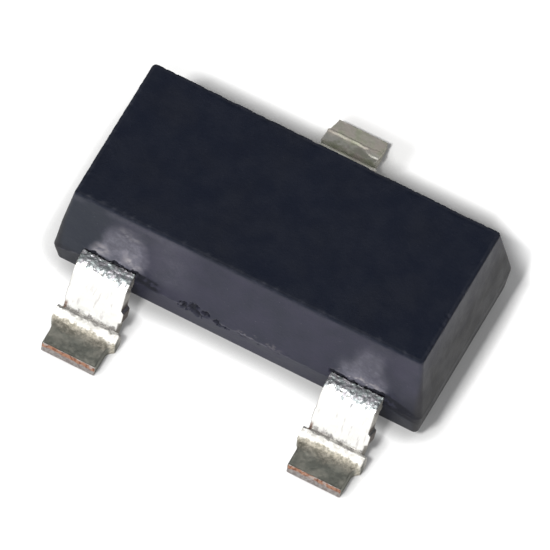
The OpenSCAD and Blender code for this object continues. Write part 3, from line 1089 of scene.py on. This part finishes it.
# Colours of the leads, from the slope to the cut toe, beside those in the settings
TIN_CLOUD = (0.70, 0.69, 0.65)
TIN_SCRATCH = (0.55, 0.56, 0.54)
REAR_GREEN = (0.54, 0.555, 0.455)
REAR_PINK = (0.62, 0.58, 0.54)
REAR_PALE = (0.80, 0.79, 0.75)
UPRIGHT_MARK = (0.47, 0.43, 0.42)
GRIP_BLUE = (0.43, 0.485, 0.49)
GRIP_VIOLET = (0.51, 0.485, 0.525)
GRIP_PIT = (0.24, 0.26, 0.265)
HEEL_PALE = (0.76, 0.710, 0.605)
HEEL_BEIGE = (0.43, 0.400, 0.325)
TOE_PALE = (0.48, 0.47, 0.41)
CREASE_PAINTED_SHADE = (0.29, 0.275, 0.265)
CREASE_BROWN = (0.20, 0.115, 0.080)
FRONT_SIDE_TONES = ((0.56, 0.54, 0.49), (0.42, 0.395, 0.355))
REAR_SIDE_TONES = ((0.84, 0.82, 0.74), (0.68, 0.66, 0.57))
TOE_SIDE_PAINTED_SHADE = (0.135, 0.140, 0.115)
TORN_AND_NOTCH_SHADE = (0.060, 0.040, 0.030)
HEEL_STRIP = (0.44, 0.43, 0.405)
GROOVE_PAINTED_SHADE = (0.012, 0.011, 0.014)
BARE_COPPER = ((0.60, 0.335, 0.235), (0.47, 0.255, 0.180))
SILVERED = ((0.80, 0.79, 0.76), (0.70, 0.69, 0.66))
CUT_TIN = ((0.40, 0.38, 0.365), (0.27, 0.235, 0.225))
CUT_TIN_EDGE = (0.62, 0.58, 0.54)
COPPER_DARK = (0.24, 0.105, 0.065)
COPPER_PALE = (0.50, 0.42, 0.38)


def lead_surface(g, place, rear):
    """The distances, noises and masks that the parts of a lead's finish share."""
    tin = SimpleNamespace(place=place, height=g.split(place)[2])
    # Millimetres from the body's face and from the heel, place across the strip, and where it was cut
    for name in ("run", "heel_run", "across", "cut_side", "cut_toe"):
        setattr(tin, name, g.attribute(name))
    tin.scratch = g.noise(place, (14.4, 9.6, 9.6) if rear else (41.6, 4.8, 4.8), 3.0, 0.7)
    tin.mottle = g.noise(place, 9.0, 5.0, 0.65)
    tin.fine = g.noise(place, 42.0, 3.0, 0.7)
    tin.wander = g.noise(place, (15.0, 2.0, 2.0), 4.0, 0.65)
    teeth = g.noise(place, (30.0, 11.0, 11.0), 2.0, 0.6)
    tin.gripped = g.step(g.ragged(tin.run, teeth, 0.105), 0.072, 0.056)
    tin.ragged_run = g.ragged(g.ragged(tin.heel_run, tin.fine, 0.05), tin.mottle, 0.12)
    tin.on_toe = g.step(tin.ragged_run, 0.056, 0.086)
    tin.jag = g.ragged(g.ragged(tin.heel_run, tin.fine, 0.050), g.noise(place, 18.0), 0.060)
    between_sides = g.step(g.math("ABSOLUTE", tin.across), 1.07, 1.01, 0.15, 1.0)
    tin.crease = g.times(g.between(tin.jag, (-0.078, -0.062), (0.024, 0.008)), between_sides)
    tin.strip = g.times(g.step(tin.jag, 0.004, 0.024), g.step(tin.heel_run, 0.120, 0.080))
    return tin


def slope_colour(g, tin, s, rear):
    """Bright tin, greener on the rear lead and with faint upright marks low on the front ones."""
    base = g.blend(g.step(tin.mottle, 0.35, 0.75, 0.0, 0.30), s.tin, TIN_CLOUD)
    base = g.blend(g.step(tin.scratch, 0.62, 0.74, 0.0, 0.35), base, TIN_SCRATCH)
    if rear:
        tint = g.blend(g.step(g.noise(tin.place, 13.0, 3.0, 0.6), 0.38, 0.62), REAR_GREEN, REAR_PINK)
        pale = g.step(g.noise(tin.place, 7.5, 3.0, 0.6), 0.46, 0.60)
        pale = g.times(pale, g.step(tin.heel_run, 0.100, 0.070), 0.80)
        tint = g.blend(pale, tint, REAR_PALE)
        return g.blend(g.step(tin.mottle, 0.35, 0.65, 0.85, 1.0), base, tint)
    marks = g.step(g.noise(tin.place, (34.0, 9.0, 9.0), 2.0, 0.6), 0.56, 0.70)
    low_slope = g.between(tin.heel_run, (-0.230, -0.140), (-0.015, -0.045))
    return g.blend(g.times(marks, low_slope, 0.55), base, UPRIGHT_MARK)


def grip_colour(g, tin, base):
    """Grip marks next to the body: dark between bright points."""
    hue = g.blend(g.step(g.noise(tin.place, 30.0), 0.40, 0.60), GRIP_BLUE, GRIP_VIOLET)
    base = g.blend(g.times(tin.gripped, 0.88), base, hue)
    pits = g.times(tin.gripped, g.step(g.noise(tin.place, 26.0, 3.0, 0.6), 0.58, 0.46))
    return g.blend(g.times(pits, g.step(tin.run, 0.015, 0.055, 0.40, 0.82)), base, GRIP_PIT)


def toe_colour(g, tin, base, s, rear):
    """Dull, greenish toes that turn beige towards the heel."""
    beige = g.blend(g.step(tin.fine, 0.38, 0.62), HEEL_PALE, HEEL_BEIGE)
    dull = g.blend(g.step(tin.mottle, 0.42, 0.62), s.tarnish, TOE_PALE)
    dull = g.blend(g.step(tin.ragged_run, 0.112, 0.186), beige, dull)
    return g.blend(g.times(tin.on_toe, 0.12 if rear else 1.0), base, dull)


def crease_colour(g, tin, base):
    """Painted shade along the ragged crease at the heel, with a browner spot at its left end."""
    uneven = g.step(g.noise(tin.place, 22.0), 0.36, 0.58, 0.35, 1.0)
    # Painted shade in the crease
    base = g.blend(g.times(tin.crease, uneven, 0.84), base, CREASE_PAINTED_SHADE)
    left_end = g.between(tin.across, (-0.92, -0.98), (-1.08, -1.03))
    spot = g.times(left_end, g.between(tin.heel_run, (-0.098, -0.080), (0.012, -0.004)))
    return g.blend(g.times(spot, 0.80), base, CREASE_BROWN)


def side_colour(g, tin, base, rear):
    """Sheared sides, browner than the slope and darkest at the torn stubs, with painted shade beside the
    crease and on the sides of the front toes.
    """
    tones = REAR_SIDE_TONES if rear else FRONT_SIDE_TONES
    base = g.blend(g.times(tin.cut_side, 0.85), base, g.blend(g.step(tin.scratch, 0.35, 0.65), *tones))
    if not rear:
        # Painted shade on the sides of the front toes
        base = g.blend(g.times(tin.cut_side, g.step(tin.heel_run, 0.020, 0.060), 0.85), base, TOE_SIDE_PAINTED_SHADE)
    stub = g.between(tin.heel_run, (-0.185, -0.160), (-0.085, -0.110))
    # Painted shade in the notch beside the crease, which shares its dark colour with the torn stubs
    notch = g.times(g.between(tin.heel_run, (-0.045, -0.025), (0.0, -0.012)), 0.7)
    notch = g.times(notch, g.step(tin.across, -0.90, -0.60, 0.20, 1.0))
    torn_and_notch_shade = g.times(g.math("MAXIMUM", stub, notch), tin.cut_side)
    return g.blend(g.times(torn_and_notch_shade, 0.25 if rear else 0.90), base, TORN_AND_NOTCH_SHADE)


def strip_colour(g, tin, base):
    """The heel's strip, which is a little dimmer than the slope."""
    spotted = g.step(g.noise(tin.place, 34.0, 2.0, 0.6), 0.40, 0.62, 0.34, 0.82)
    spotted = g.times(spotted, g.step(tin.heel_run, 0.068, 0.030, 0.30, 1.0))
    return g.blend(g.times(tin.strip, spotted), base, HEEL_STRIP)


def inner_colour(g, tin, base):
    """Painted shade on the lead in the groove in the body, and bare copper further in, silvered on top for
    the wires.
    """
    sunk = g.ragged(tin.run, tin.fine, 0.040)
    in_groove = g.times(g.step(sunk, -0.015, -0.021), g.step(tin.run, -0.090, -0.070))
    # Painted shade in the groove over the lead
    base = g.blend(in_groove, base, GROOVE_PAINTED_SHADE)
    bare = g.blend(g.step(tin.mottle, 0.35, 0.70), *BARE_COPPER)
    silver = g.blend(g.step(tin.mottle, 0.35, 0.70), *SILVERED)
    bare = g.blend(g.step(tin.height, LEAD_TOP - 0.006, LEAD_TOP - 0.002), bare, silver)
    return g.blend(g.step(tin.run, -0.070, -0.090), base, bare)


def cut_colour(g, tin, base, s):
    """The cut toe: bare copper in a ragged upper stripe, with smeared tin round it."""
    level = g.ragged(tin.height, tin.wander, 0.050)
    smear_and_reflection = g.blend(g.step(tin.fine, 0.4, 0.6), *CUT_TIN)
    smear_and_reflection = g.blend(g.step(level, 0.084, 0.092), smear_and_reflection, CUT_TIN_EDGE)
    copper = g.blend(g.step(tin.fine, 0.46, 0.60), s.copper, COPPER_DARK)
    copper = g.blend(g.step(g.noise(tin.place, 20.0), 0.56, 0.64), copper, COPPER_PALE)
    stripe = g.between(level, (0.046, 0.054), (0.088, 0.082))
    base = g.blend(tin.cut_toe, base, smear_and_reflection)
    return g.blend(g.times(stripe, tin.cut_toe), base, copper)


def tin_material(s, name, rear):
    """Matte tin over copper: bright slope, sparkling grip marks, dulled feet and copper at the cut toe."""
    material, g, shader, place = new_material(name)
    tin = lead_surface(g, place, rear)
    base = slope_colour(g, tin, s, rear)
    base = grip_colour(g, tin, base)
    base = toe_colour(g, tin, base, s, rear)
    if not rear:
        base = crease_colour(g, tin, base)
    base = side_colour(g, tin, base, rear)
    if not rear:
        base = strip_colour(g, tin, base)
    base = inner_colour(g, tin, base)
    base = cut_colour(g, tin, base, s)

    smoothest, roughest = (0.64, 0.76) if rear else (0.29, 0.38)
    rough = g.plus(
        g.step(tin.mottle, 0.3, 0.7, smoothest, roughest), g.times(tin.strip, 0.0 if rear else 0.26),
        g.times(g.math("MAXIMUM", tin.cut_side, tin.cut_toe), 0.14), g.times(tin.on_toe, 0.10),
        g.times(tin.gripped, 0.20), g.times(tin.crease, 0.34),
    )
    g.fill(shader, Base_Color=base, Roughness=rough, Metallic=1.0)
    teeth = g.noise(place, 85.0, 2.0, 0.6)
    relief = g.plus(
        g.times(tin.scratch, 0.20), g.times(tin.fine, 0.22), g.times(teeth, tin.gripped),
        g.times(tin.wander, tin.cut_toe, 1.2),
    )
    bump(g, shader, relief, 0.0028 * MM)
    return material


def add_inner_end(lead, node, outwards):
    """Adds the anchor inside the body, taken from the lead's node and cut off just inside the face."""
    work = bmesh.new()
    work.from_mesh(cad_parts[node].data)
    bmesh.ops.remove_doubles(work, verts=work.verts, dist=0.0001 * MM)
    cut = BODY_MID_Y + outwards * (BODY_HALF_Y - ANCHOR_INSIDE)
    everything = work.verts[:] + work.edges[:] + work.faces[:]
    bmesh.ops.bisect_plane(
        work, geom=everything, dist=1e-9, plane_co=(0, cut, 0), plane_no=(0, outwards, 0), clear_outer=True,
    )
    bmesh.ops.edgenet_fill(work, edges=[edge for edge in work.edges if edge.is_boundary])
    bmesh.ops.triangulate(work, faces=work.faces)
    bmesh.ops.recalc_face_normals(work, faces=work.faces)
    inner = bpy.data.meshes.new(node + "_anchor")
    work.to_mesh(inner)
    work.free()

    outer = lead.data
    shift, extra = len(outer.vertices), len(inner.vertices)
    faces = [tuple(face.vertices) for face in outer.polygons]
    faces += [tuple(index + shift for index in face.vertices) for face in inner.polygons]
    points = np.concatenate([coordinates(outer), coordinates(inner)])
    joined = mesh_from(outer.name + "_whole", points, faces)
    for attribute in outer.attributes:
        if attribute.data_type == "FLOAT" and attribute.domain == "POINT":
            values = np.zeros(shift, np.float32)
            attribute.data.foreach_get("value", values)
            # The anchor is far inside the body, where the material turns to copper
            filler = -1.0 if attribute.name in ("run", "heel_run") else 0.0
            store(joined, attribute.name, np.concatenate([values, np.full(extra, filler)]))
    joined.materials.append(outer.materials[0])
    joined.shade_smooth()
    joined.set_sharp_from_angle(angle=LEAD_SHARP)
    lead.data = joined
    bpy.data.meshes.remove(outer)
    bpy.data.meshes.remove(inner)


# Piece, node, side of the middle, way out of the body and seed of each lead
LEADS = (
    ("left_lead", "anode_lead", -1, -1, 3.1),
    ("right_lead", "cathode_lead", 1, -1, 8.7),
    ("rear_lead", "paddle_lead", 0, 1, 15.4),
)


class BuildLeads(bpy.types.Operator):
    """Sweep, bend and dent the three leads and give them their plated finish"""

    bl_idname = "regulator.build_leads"
    bl_label = "Leads"

    def execute(self, context):
        s = settings("leads")
        tree = lead_tree()
        front = tin_material(s, "tin plate, front leads", False)
        rear = tin_material(s, "tin plate, rear lead", True)
        for name, node, side, outwards, seed in LEADS:
            reach, finish = (FRONT_REACH, front) if outwards < 0 else (REAR_REACH, rear)
            lead = form_lead(name, side * s.pitch / 2, outwards, reach, seed, tree, finish)
            if len(lead.data.polygons) < s.stations:
                raise RuntimeError(f"{name} came out with too few faces")
            add_inner_end(lead, node, outwards)
            finish_piece(lead, "tinned_lead", node)
        return {"FINISHED"}


# Stage

# The bright side of the studio, towards the front and a little to the left
BRIGHT_SIDE = (-0.20, -0.98, 0.0)
STUDIO_LIGHT = (0.97, 0.985, 1.0, 1.0)


def studio_world(s):
    """A studio with a broad bright front, a faint horizon and a dim ceiling."""
    world = bpy.data.worlds.new("studio")
    world.use_nodes = True
    g = Graph(world.node_tree)
    direction = g.add("ShaderNodeTexCoord").outputs["Generated"]
    z = g.split(direction)[2]
    ahead = g.vector("DOT_PRODUCT", direction, BRIGHT_SIDE)
    front = g.times(g.step(ahead, 0.30, 0.78), g.step(z, 0.80, 0.55))
    light = g.math("MULTIPLY_ADD", front, s.front_glow, s.ceiling)
    light = g.math("MULTIPLY_ADD", g.step(z, 0.45, 0.0), s.horizon, light)
    g.fill(world.node_tree.nodes["Background"], Color=STUDIO_LIGHT, Strength=light)
    bpy.context.scene.world = world


def direction_to(azimuth, elevation):
    """The direction of a place round the object; the azimuth goes from the front towards the right."""
    level = math.cos(elevation)
    return Vector((math.sin(azimuth) * level, -math.cos(azimuth) * level, math.sin(elevation)))


def key_lamp(s):
    """A soft square lamp over the front, which faces the object."""
    lamp = bpy.data.lights.new("key", "AREA")
    lamp.shape = "RECTANGLE"
    lamp.energy = s.key_power
    lamp.size = s.key_width
    lamp.size_y = s.key_height
    lamp.color = s.key_tint
    away = direction_to(s.key_azimuth, s.key_elevation)
    turn = away.to_track_quat("Z", "Y").to_matrix().to_4x4()
    new_object("key", lamp).matrix_world = Matrix.Translation(away * s.key_distance) @ turn


# Where the part and its shadow lie on the floor, in millimetres: middle, half sizes and corner radius
SHADOW_ZONES = (
    ((-0.041, 0.26), (1.669, 1.03), 0.32),
    ((-0.93, -1.00), (0.33, 0.38), 0.16),
    ((0.99, -1.00), (0.33, 0.38), 0.16),
    ((0.08, 1.20), (0.40, 0.32), 0.20),
)
# The shadow's soft edge, measured outwards from a zone's outline
SHADOW_EDGE = (-0.18, 0.09)
# The shadow ends slantwise past the back right corner, between these two distances
SLANT_WAY = (0.615, 0.788, 0.0)
SLANT_ENDS = (1.51, 1.77)


def floor_clearance(g):
    """0 on the floor beside the part, where its shadow lies, and 1 all round, from the floor's position."""
    place = g.vector("SCALE", g.add("ShaderNodeTexCoord").outputs["Object"], Scale=1 / MM)
    clear = []
    for middle, half, corner in SHADOW_ZONES:
        from_middle = g.vector("ABSOLUTE", g.vector("SUBTRACT", place, (*middle, 0.0)))
        beyond = g.vector("SUBTRACT", from_middle, (half[0] - corner, half[1] - corner, 0.0))
        away = g.vector("LENGTH", g.vector("MAXIMUM", beyond, (0.0, 0.0, 0.0)))
        clear.append(g.step(away, *(corner + edge for edge in SHADOW_EDGE)))
    past_slant = g.step(g.vector("DOT_PRODUCT", place, SLANT_WAY), *SLANT_ENDS)
    clear[0] = g.math("MAXIMUM", clear[0], past_slant)
    return reduce(lambda a, b: g.math("MINIMUM", a, b), clear)


def floor_material(s):
    """White floor that keeps the shadow close to the part, with painted contact shade under it, and that can
    be seen through from below.
    """
    material = bpy.data.materials.new("studio floor")
    material.use_nodes = True
    g = Graph(material.node_tree)
    shader = material.node_tree.nodes["Principled BSDF"]
    output = material.node_tree.nodes["Material Output"]
    # Painted contact shade: the floor's colour darkens softly where the part stands close over it
    near = g.fill(g.add("ShaderNodeAmbientOcclusion", samples=8), Distance=s.contact_reach)
    shade = g.step(near.outputs["AO"], 0.35, 1.0, s.contact_shade, 1.0)
    seen = g.add("ShaderNodeLightPath").outputs
    mirrored = g.math("MAXIMUM", seen["Is Glossy Ray"], seen["Is Transmission Ray"])
    shown = g.math("MAXIMUM", seen["Is Camera Ray"], mirrored)
    clear_light = g.times(floor_clearance(g), s.clear_lift, seen["Is Camera Ray"])
    g.fill(
        shader, Base_Color=g.vector("SCALE", tuple(s.floor), Scale=shade), Roughness=1.0,
        Specular_IOR_Level=0.0, Emission_Color=(1.0, 1.0, 1.0, 1.0),
        Emission_Strength=g.math("MULTIPLY_ADD", shown, s.floor_lift, clear_light),
    )
    mix = g.add("ShaderNodeMixShader")
    g.put(mix.inputs[0], g.add("ShaderNodeNewGeometry").outputs["Backfacing"])
    g.put(mix.inputs[1], shader.outputs[0])
    g.put(mix.inputs[2], g.add("ShaderNodeBsdfTransparent").outputs[0])
    g.put(output.inputs["Surface"], mix.outputs[0])
    return material


# The point that the camera looks at, and the width of its film in millimetres
AIM = Vector((0.0393, -0.1658, 0.3925)) * MM
SENSOR_WIDTH = 36.0


def photo_camera(s):
    """A long lens at the photograph's angle, with its roll and framing."""
    camera = bpy.data.cameras.new("camera")
    camera.sensor_width = SENSOR_WIDTH
    camera.lens = SENSOR_WIDTH * s.distance / s.field
    camera.clip_start = 0.01 * s.distance
    camera.clip_end = 50 * s.distance
    back = direction_to(s.azimuth, s.elevation)
    level = Vector((math.cos(s.azimuth), math.sin(s.azimuth), 0.0))
    above = back.cross(level)
    right = level * math.cos(s.roll) + above * math.sin(s.roll)
    up = above * math.cos(s.roll) - level * math.sin(s.roll)
    thing = new_object("camera", camera)
    turn = Matrix((right, up, back)).transposed().to_4x4()
    thing.matrix_world = Matrix.Translation(AIM + back * s.distance) @ turn
    bpy.context.scene.camera = thing


# The floor is wide and lies just under the feet
FLOOR_HALF = 250 * MM
FLOOR_Z = -0.0004 * MM


class SetStage(bpy.types.Operator):
    """Lay the floor, hang the lamps and put the camera at the photograph's angle"""

    bl_idname = "regulator.set_stage"
    bl_label = "Stage"

    def execute(self, context):
        s = settings("stage")
        ways = ((-1, -1), (1, -1), (1, 1), (-1, 1))
        corners = [(x * FLOOR_HALF, y * FLOOR_HALF, FLOOR_Z) for x, y in ways]
        floor = new_object("floor", mesh_from("floor", corners, [(0, 1, 2, 3)]))
        floor.data.materials.append(floor_material(s))
        studio_world(s)
        key_lamp(s)
        photo_camera(s)
        context.scene.view_settings.view_transform = "Standard"
        return {"FINISHED"}


# Chip and wires

def plain_metal(name, tint, roughness, grain):
    """A metal with drawn or deposited grain."""
    material, g, shader, place = new_material(name)
    cloud = g.noise(place, grain, 3.0, 0.6)
    shade = g.blend(g.step(cloud, 0.35, 0.7), tint, tuple(0.72 * c for c in tint))
    rough = g.step(cloud, 0.3, 0.7, roughness, roughness + 0.12)
    g.fill(shader, Base_Color=shade, Roughness=rough, Metallic=1.0)
    bump(g, shader, cloud, 0.0010 * MM)
    return material


SAWN_GREY = (0.24, 0.24, 0.27)
FLAKE_TONES = ((0.42, 0.42, 0.40), (0.68, 0.67, 0.64))


def silicon_material(s):
    """Polished silicon with sawn sides."""
    material, g, shader, place = new_material("silicon")
    saw = g.noise(place, (2.0, 2.0, 90.0))
    shade = g.blend(g.step(saw, 0.35, 0.7, 0.0, 0.6), s.silicon, SAWN_GREY)
    rough = g.step(g.noise(place, 12.0, 3.0), 0.3, 0.7, 0.16, 0.30)
    g.fill(shader, Base_Color=shade, Roughness=rough, Metallic=0.85)
    bump(g, shader, saw, 0.0008 * MM)
    return material


def adhesive_material():
    """Silver-filled adhesive with flakes."""
    material, g, shader, place = new_material("silver adhesive")
    glint = g.split(g.voronoi(place, 90.0, output="Color"))[0]
    rough = g.step(glint, 0.2, 0.9, 0.35, 0.60)
    g.fill(shader, Base_Color=g.blend(glint, *FLAKE_TONES), Roughness=rough, Metallic=0.6)
    bump(g, shader, glint, 0.0010 * MM)
    return material


def finger_tree():
    """Node group that lays two combs of metal fingers on the chip, beside the bars and pads it is given."""
    tree, g, given, result = new_tree("Chip metal", (
        ("Fingers", "Int"), ("Finger Width", "Float"), ("Finger Length", "Float"), ("Metal Height", "Float"),
        ("Finger Shift", "Float"), ("Span", "Float"), ("Middle", "Vector"), ("Finish", "Material"),
    ))
    joined = g.add("GeometryNodeJoinGeometry")
    pitch = g.math("DIVIDE", given["Span"], given["Fingers"])
    first = g.times(given["Span"], -0.5)
    bar = g.join(given["Finger Width"], given["Finger Length"], given["Metal Height"])
    bar = g.make("GeometryNodeMeshCube", Size=bar)
    # Each comb starts half a pitch away from the other, and reaches in from its own side
    for side, phase in ((-1.0, 0.25), (1.0, 0.75)):
        start = g.join(g.math("MULTIPLY_ADD", pitch, phase, first), g.times(given["Finger Shift"], side))
        line = g.make(
            "GeometryNodeMeshLine", {"mode": "OFFSET"}, Count=given["Fingers"], Start_Location=start,
            Offset=g.join(pitch),
        )
        g.put(joined.inputs[0], g.make("GeometryNodeInstanceOnPoints", Points=line, Instance=bar))
    g.put(joined.inputs[0], given["Geometry"])
    end_tree(g, result, joined.outputs[0], given["Middle"], given["Finish"])
    return tree


def add_bar(work, middle, half):
    """Adds a rectangular bar to a bmesh, from its middle and half sizes."""
    place = Matrix.Translation(middle) @ Matrix.Diagonal((*(2 * size for size in half), 1.0))
    bmesh.ops.create_cube(work, size=1.0, matrix=place)


def dress(node, finish):
    """Gives a node that stays as the CAD made it its material."""
    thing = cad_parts[node]
    thing.data.materials.clear()
    thing.data.materials.append(finish)


def ball_middle(node):
    """Where a bond wire's ball stands on the chip, measured from the chip's middle."""
    points = coordinates(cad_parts[node].data)
    on_chip = np.abs(points[:, 2] - CHIP_HIGH.z) < 0.002 * MM
    for axis in (0, 1):
        on_chip &= (points[:, axis] > CHIP_LOW[axis]) & (points[:, axis] < CHIP_HIGH[axis])
    if not on_chip.any():
        raise RuntimeError(f"{node} doesn't stand on the chip")
    low, high = points[on_chip].min(axis=0), points[on_chip].max(axis=0)
    return (low[:2] + high[:2] - np.array(CHIP_LOW[:2]) - np.array(CHIP_HIGH[:2])) / 2


class BuildChip(bpy.types.Operator):
    """Dress the chip and its adhesive, and lay the chip's metal"""

    bl_idname = "regulator.build_chip"
    bl_label = "Chip"

    def execute(self, context):
        s = settings("chip")
        dress("silicon_die", silicon_material(s))
        dress("die_attach", adhesive_material())
        self.lay_metal(s)
        return {"FINISHED"}

    def lay_metal(self, s):
        """Bond pads, bus bars and fingers, a few thousandths of a millimetre thick, on top of the chip."""
        half_span = (CHIP_HIGH.x - CHIP_LOW.x) / 2 - s.metal_margin
        edge = (CHIP_HIGH.y - CHIP_LOW.y) / 2 - s.metal_margin
        half_high, half_bus, half_pad = s.metal_height / 2, s.bus_width / 2, s.pad_side / 2
        work = bmesh.new()
        for side in (-1, 1):
            add_bar(work, (0.0, side * (edge - half_bus), 0.0), (half_span, half_bus, half_high))
        for node in ("anode_bond_wire", "cathode_bond_wire"):
            # The pads stand a little higher than the bars
            place = (*ball_middle(node), 0.3 * half_high)
            add_bar(work, place, (half_pad, half_pad, 1.3 * half_high))
        mesh = bpy.data.meshes.new("chip_metal")
        work.to_mesh(mesh)
        work.free()
        thing = new_object("chip_metal_plan", mesh)
        middle = (CHIP_LOW + CHIP_HIGH) / 2
        run_tree(thing, finger_tree(), {
            "Fingers": s.finger_count, "Finger Width": s.finger_width,
            "Finger Length": 2 * (edge - s.bus_width) - s.finger_gap,
            "Finger Shift": s.finger_gap / 2, "Metal Height": s.metal_height, "Span": 2 * half_span,
            "Middle": (middle.x, middle.y, CHIP_HIGH.z + half_high),
            "Finish": plain_metal("chip aluminium", s.aluminium, 0.26, 60.0),
        })
        finish_piece(baked(thing, "chip_metal"), "silicon")


class BuildWires(bpy.types.Operator):
    """Dress the two bond wires"""

    bl_idname = "regulator.build_wires"
    bl_label = "Bond wires"

    def execute(self, context):
        gold = plain_metal("bond gold", settings("chip").gold, 0.18, 30.0)
        for node in ("anode_bond_wire", "cathode_bond_wire"):
            dress(node, gold)
        return {"FINISHED"}


class RegulatorPanel(bpy.types.Panel):
    """Lists what can be built, with its settings"""

    bl_idname = "VIEW3D_PT_regulator"
    bl_label = "Current Regulator Diode"
    bl_space_type = "VIEW_3D"
    bl_region_type = "UI"
    bl_category = "Regulator"

    def draw(self, context):
        for operators, group in (
            ((BuildMoulding,), "moulding"), ((BuildLeads,), "leads"), ((BuildChip, BuildWires), "chip"),
            ((SetStage,), "stage"),
        ):
            box = self.layout.box()
            for operator in operators:
                box.operator(operator.bl_idname)
            values = settings(group)
            for name in values.bl_rna.properties.keys():
                if name not in ("rna_type", "name"):
                    box.prop(values, name)


CLASSES = (*GROUPS.values(), BuildMoulding, BuildLeads, BuildChip, BuildWires, SetStage, RegulatorPanel)


def register():
    for kind in CLASSES:
        bpy.utils.register_class(kind)
    for group, kind in GROUPS.items():
        setattr(bpy.types.Scene, "regulator_" + group, PointerProperty(type=kind))


def unregister():
    for group in GROUPS:
        delattr(bpy.types.Scene, "regulator_" + group)
    for kind in reversed(CLASSES):
        bpy.utils.unregister_class(kind)


def main():
    register()
    bpy.ops.regulator.build_moulding()
    bpy.ops.regulator.build_leads()
    bpy.ops.regulator.build_chip()
    bpy.ops.regulator.build_wires()
    bpy.ops.regulator.set_stage()


if __name__ == "__main__":
    main()
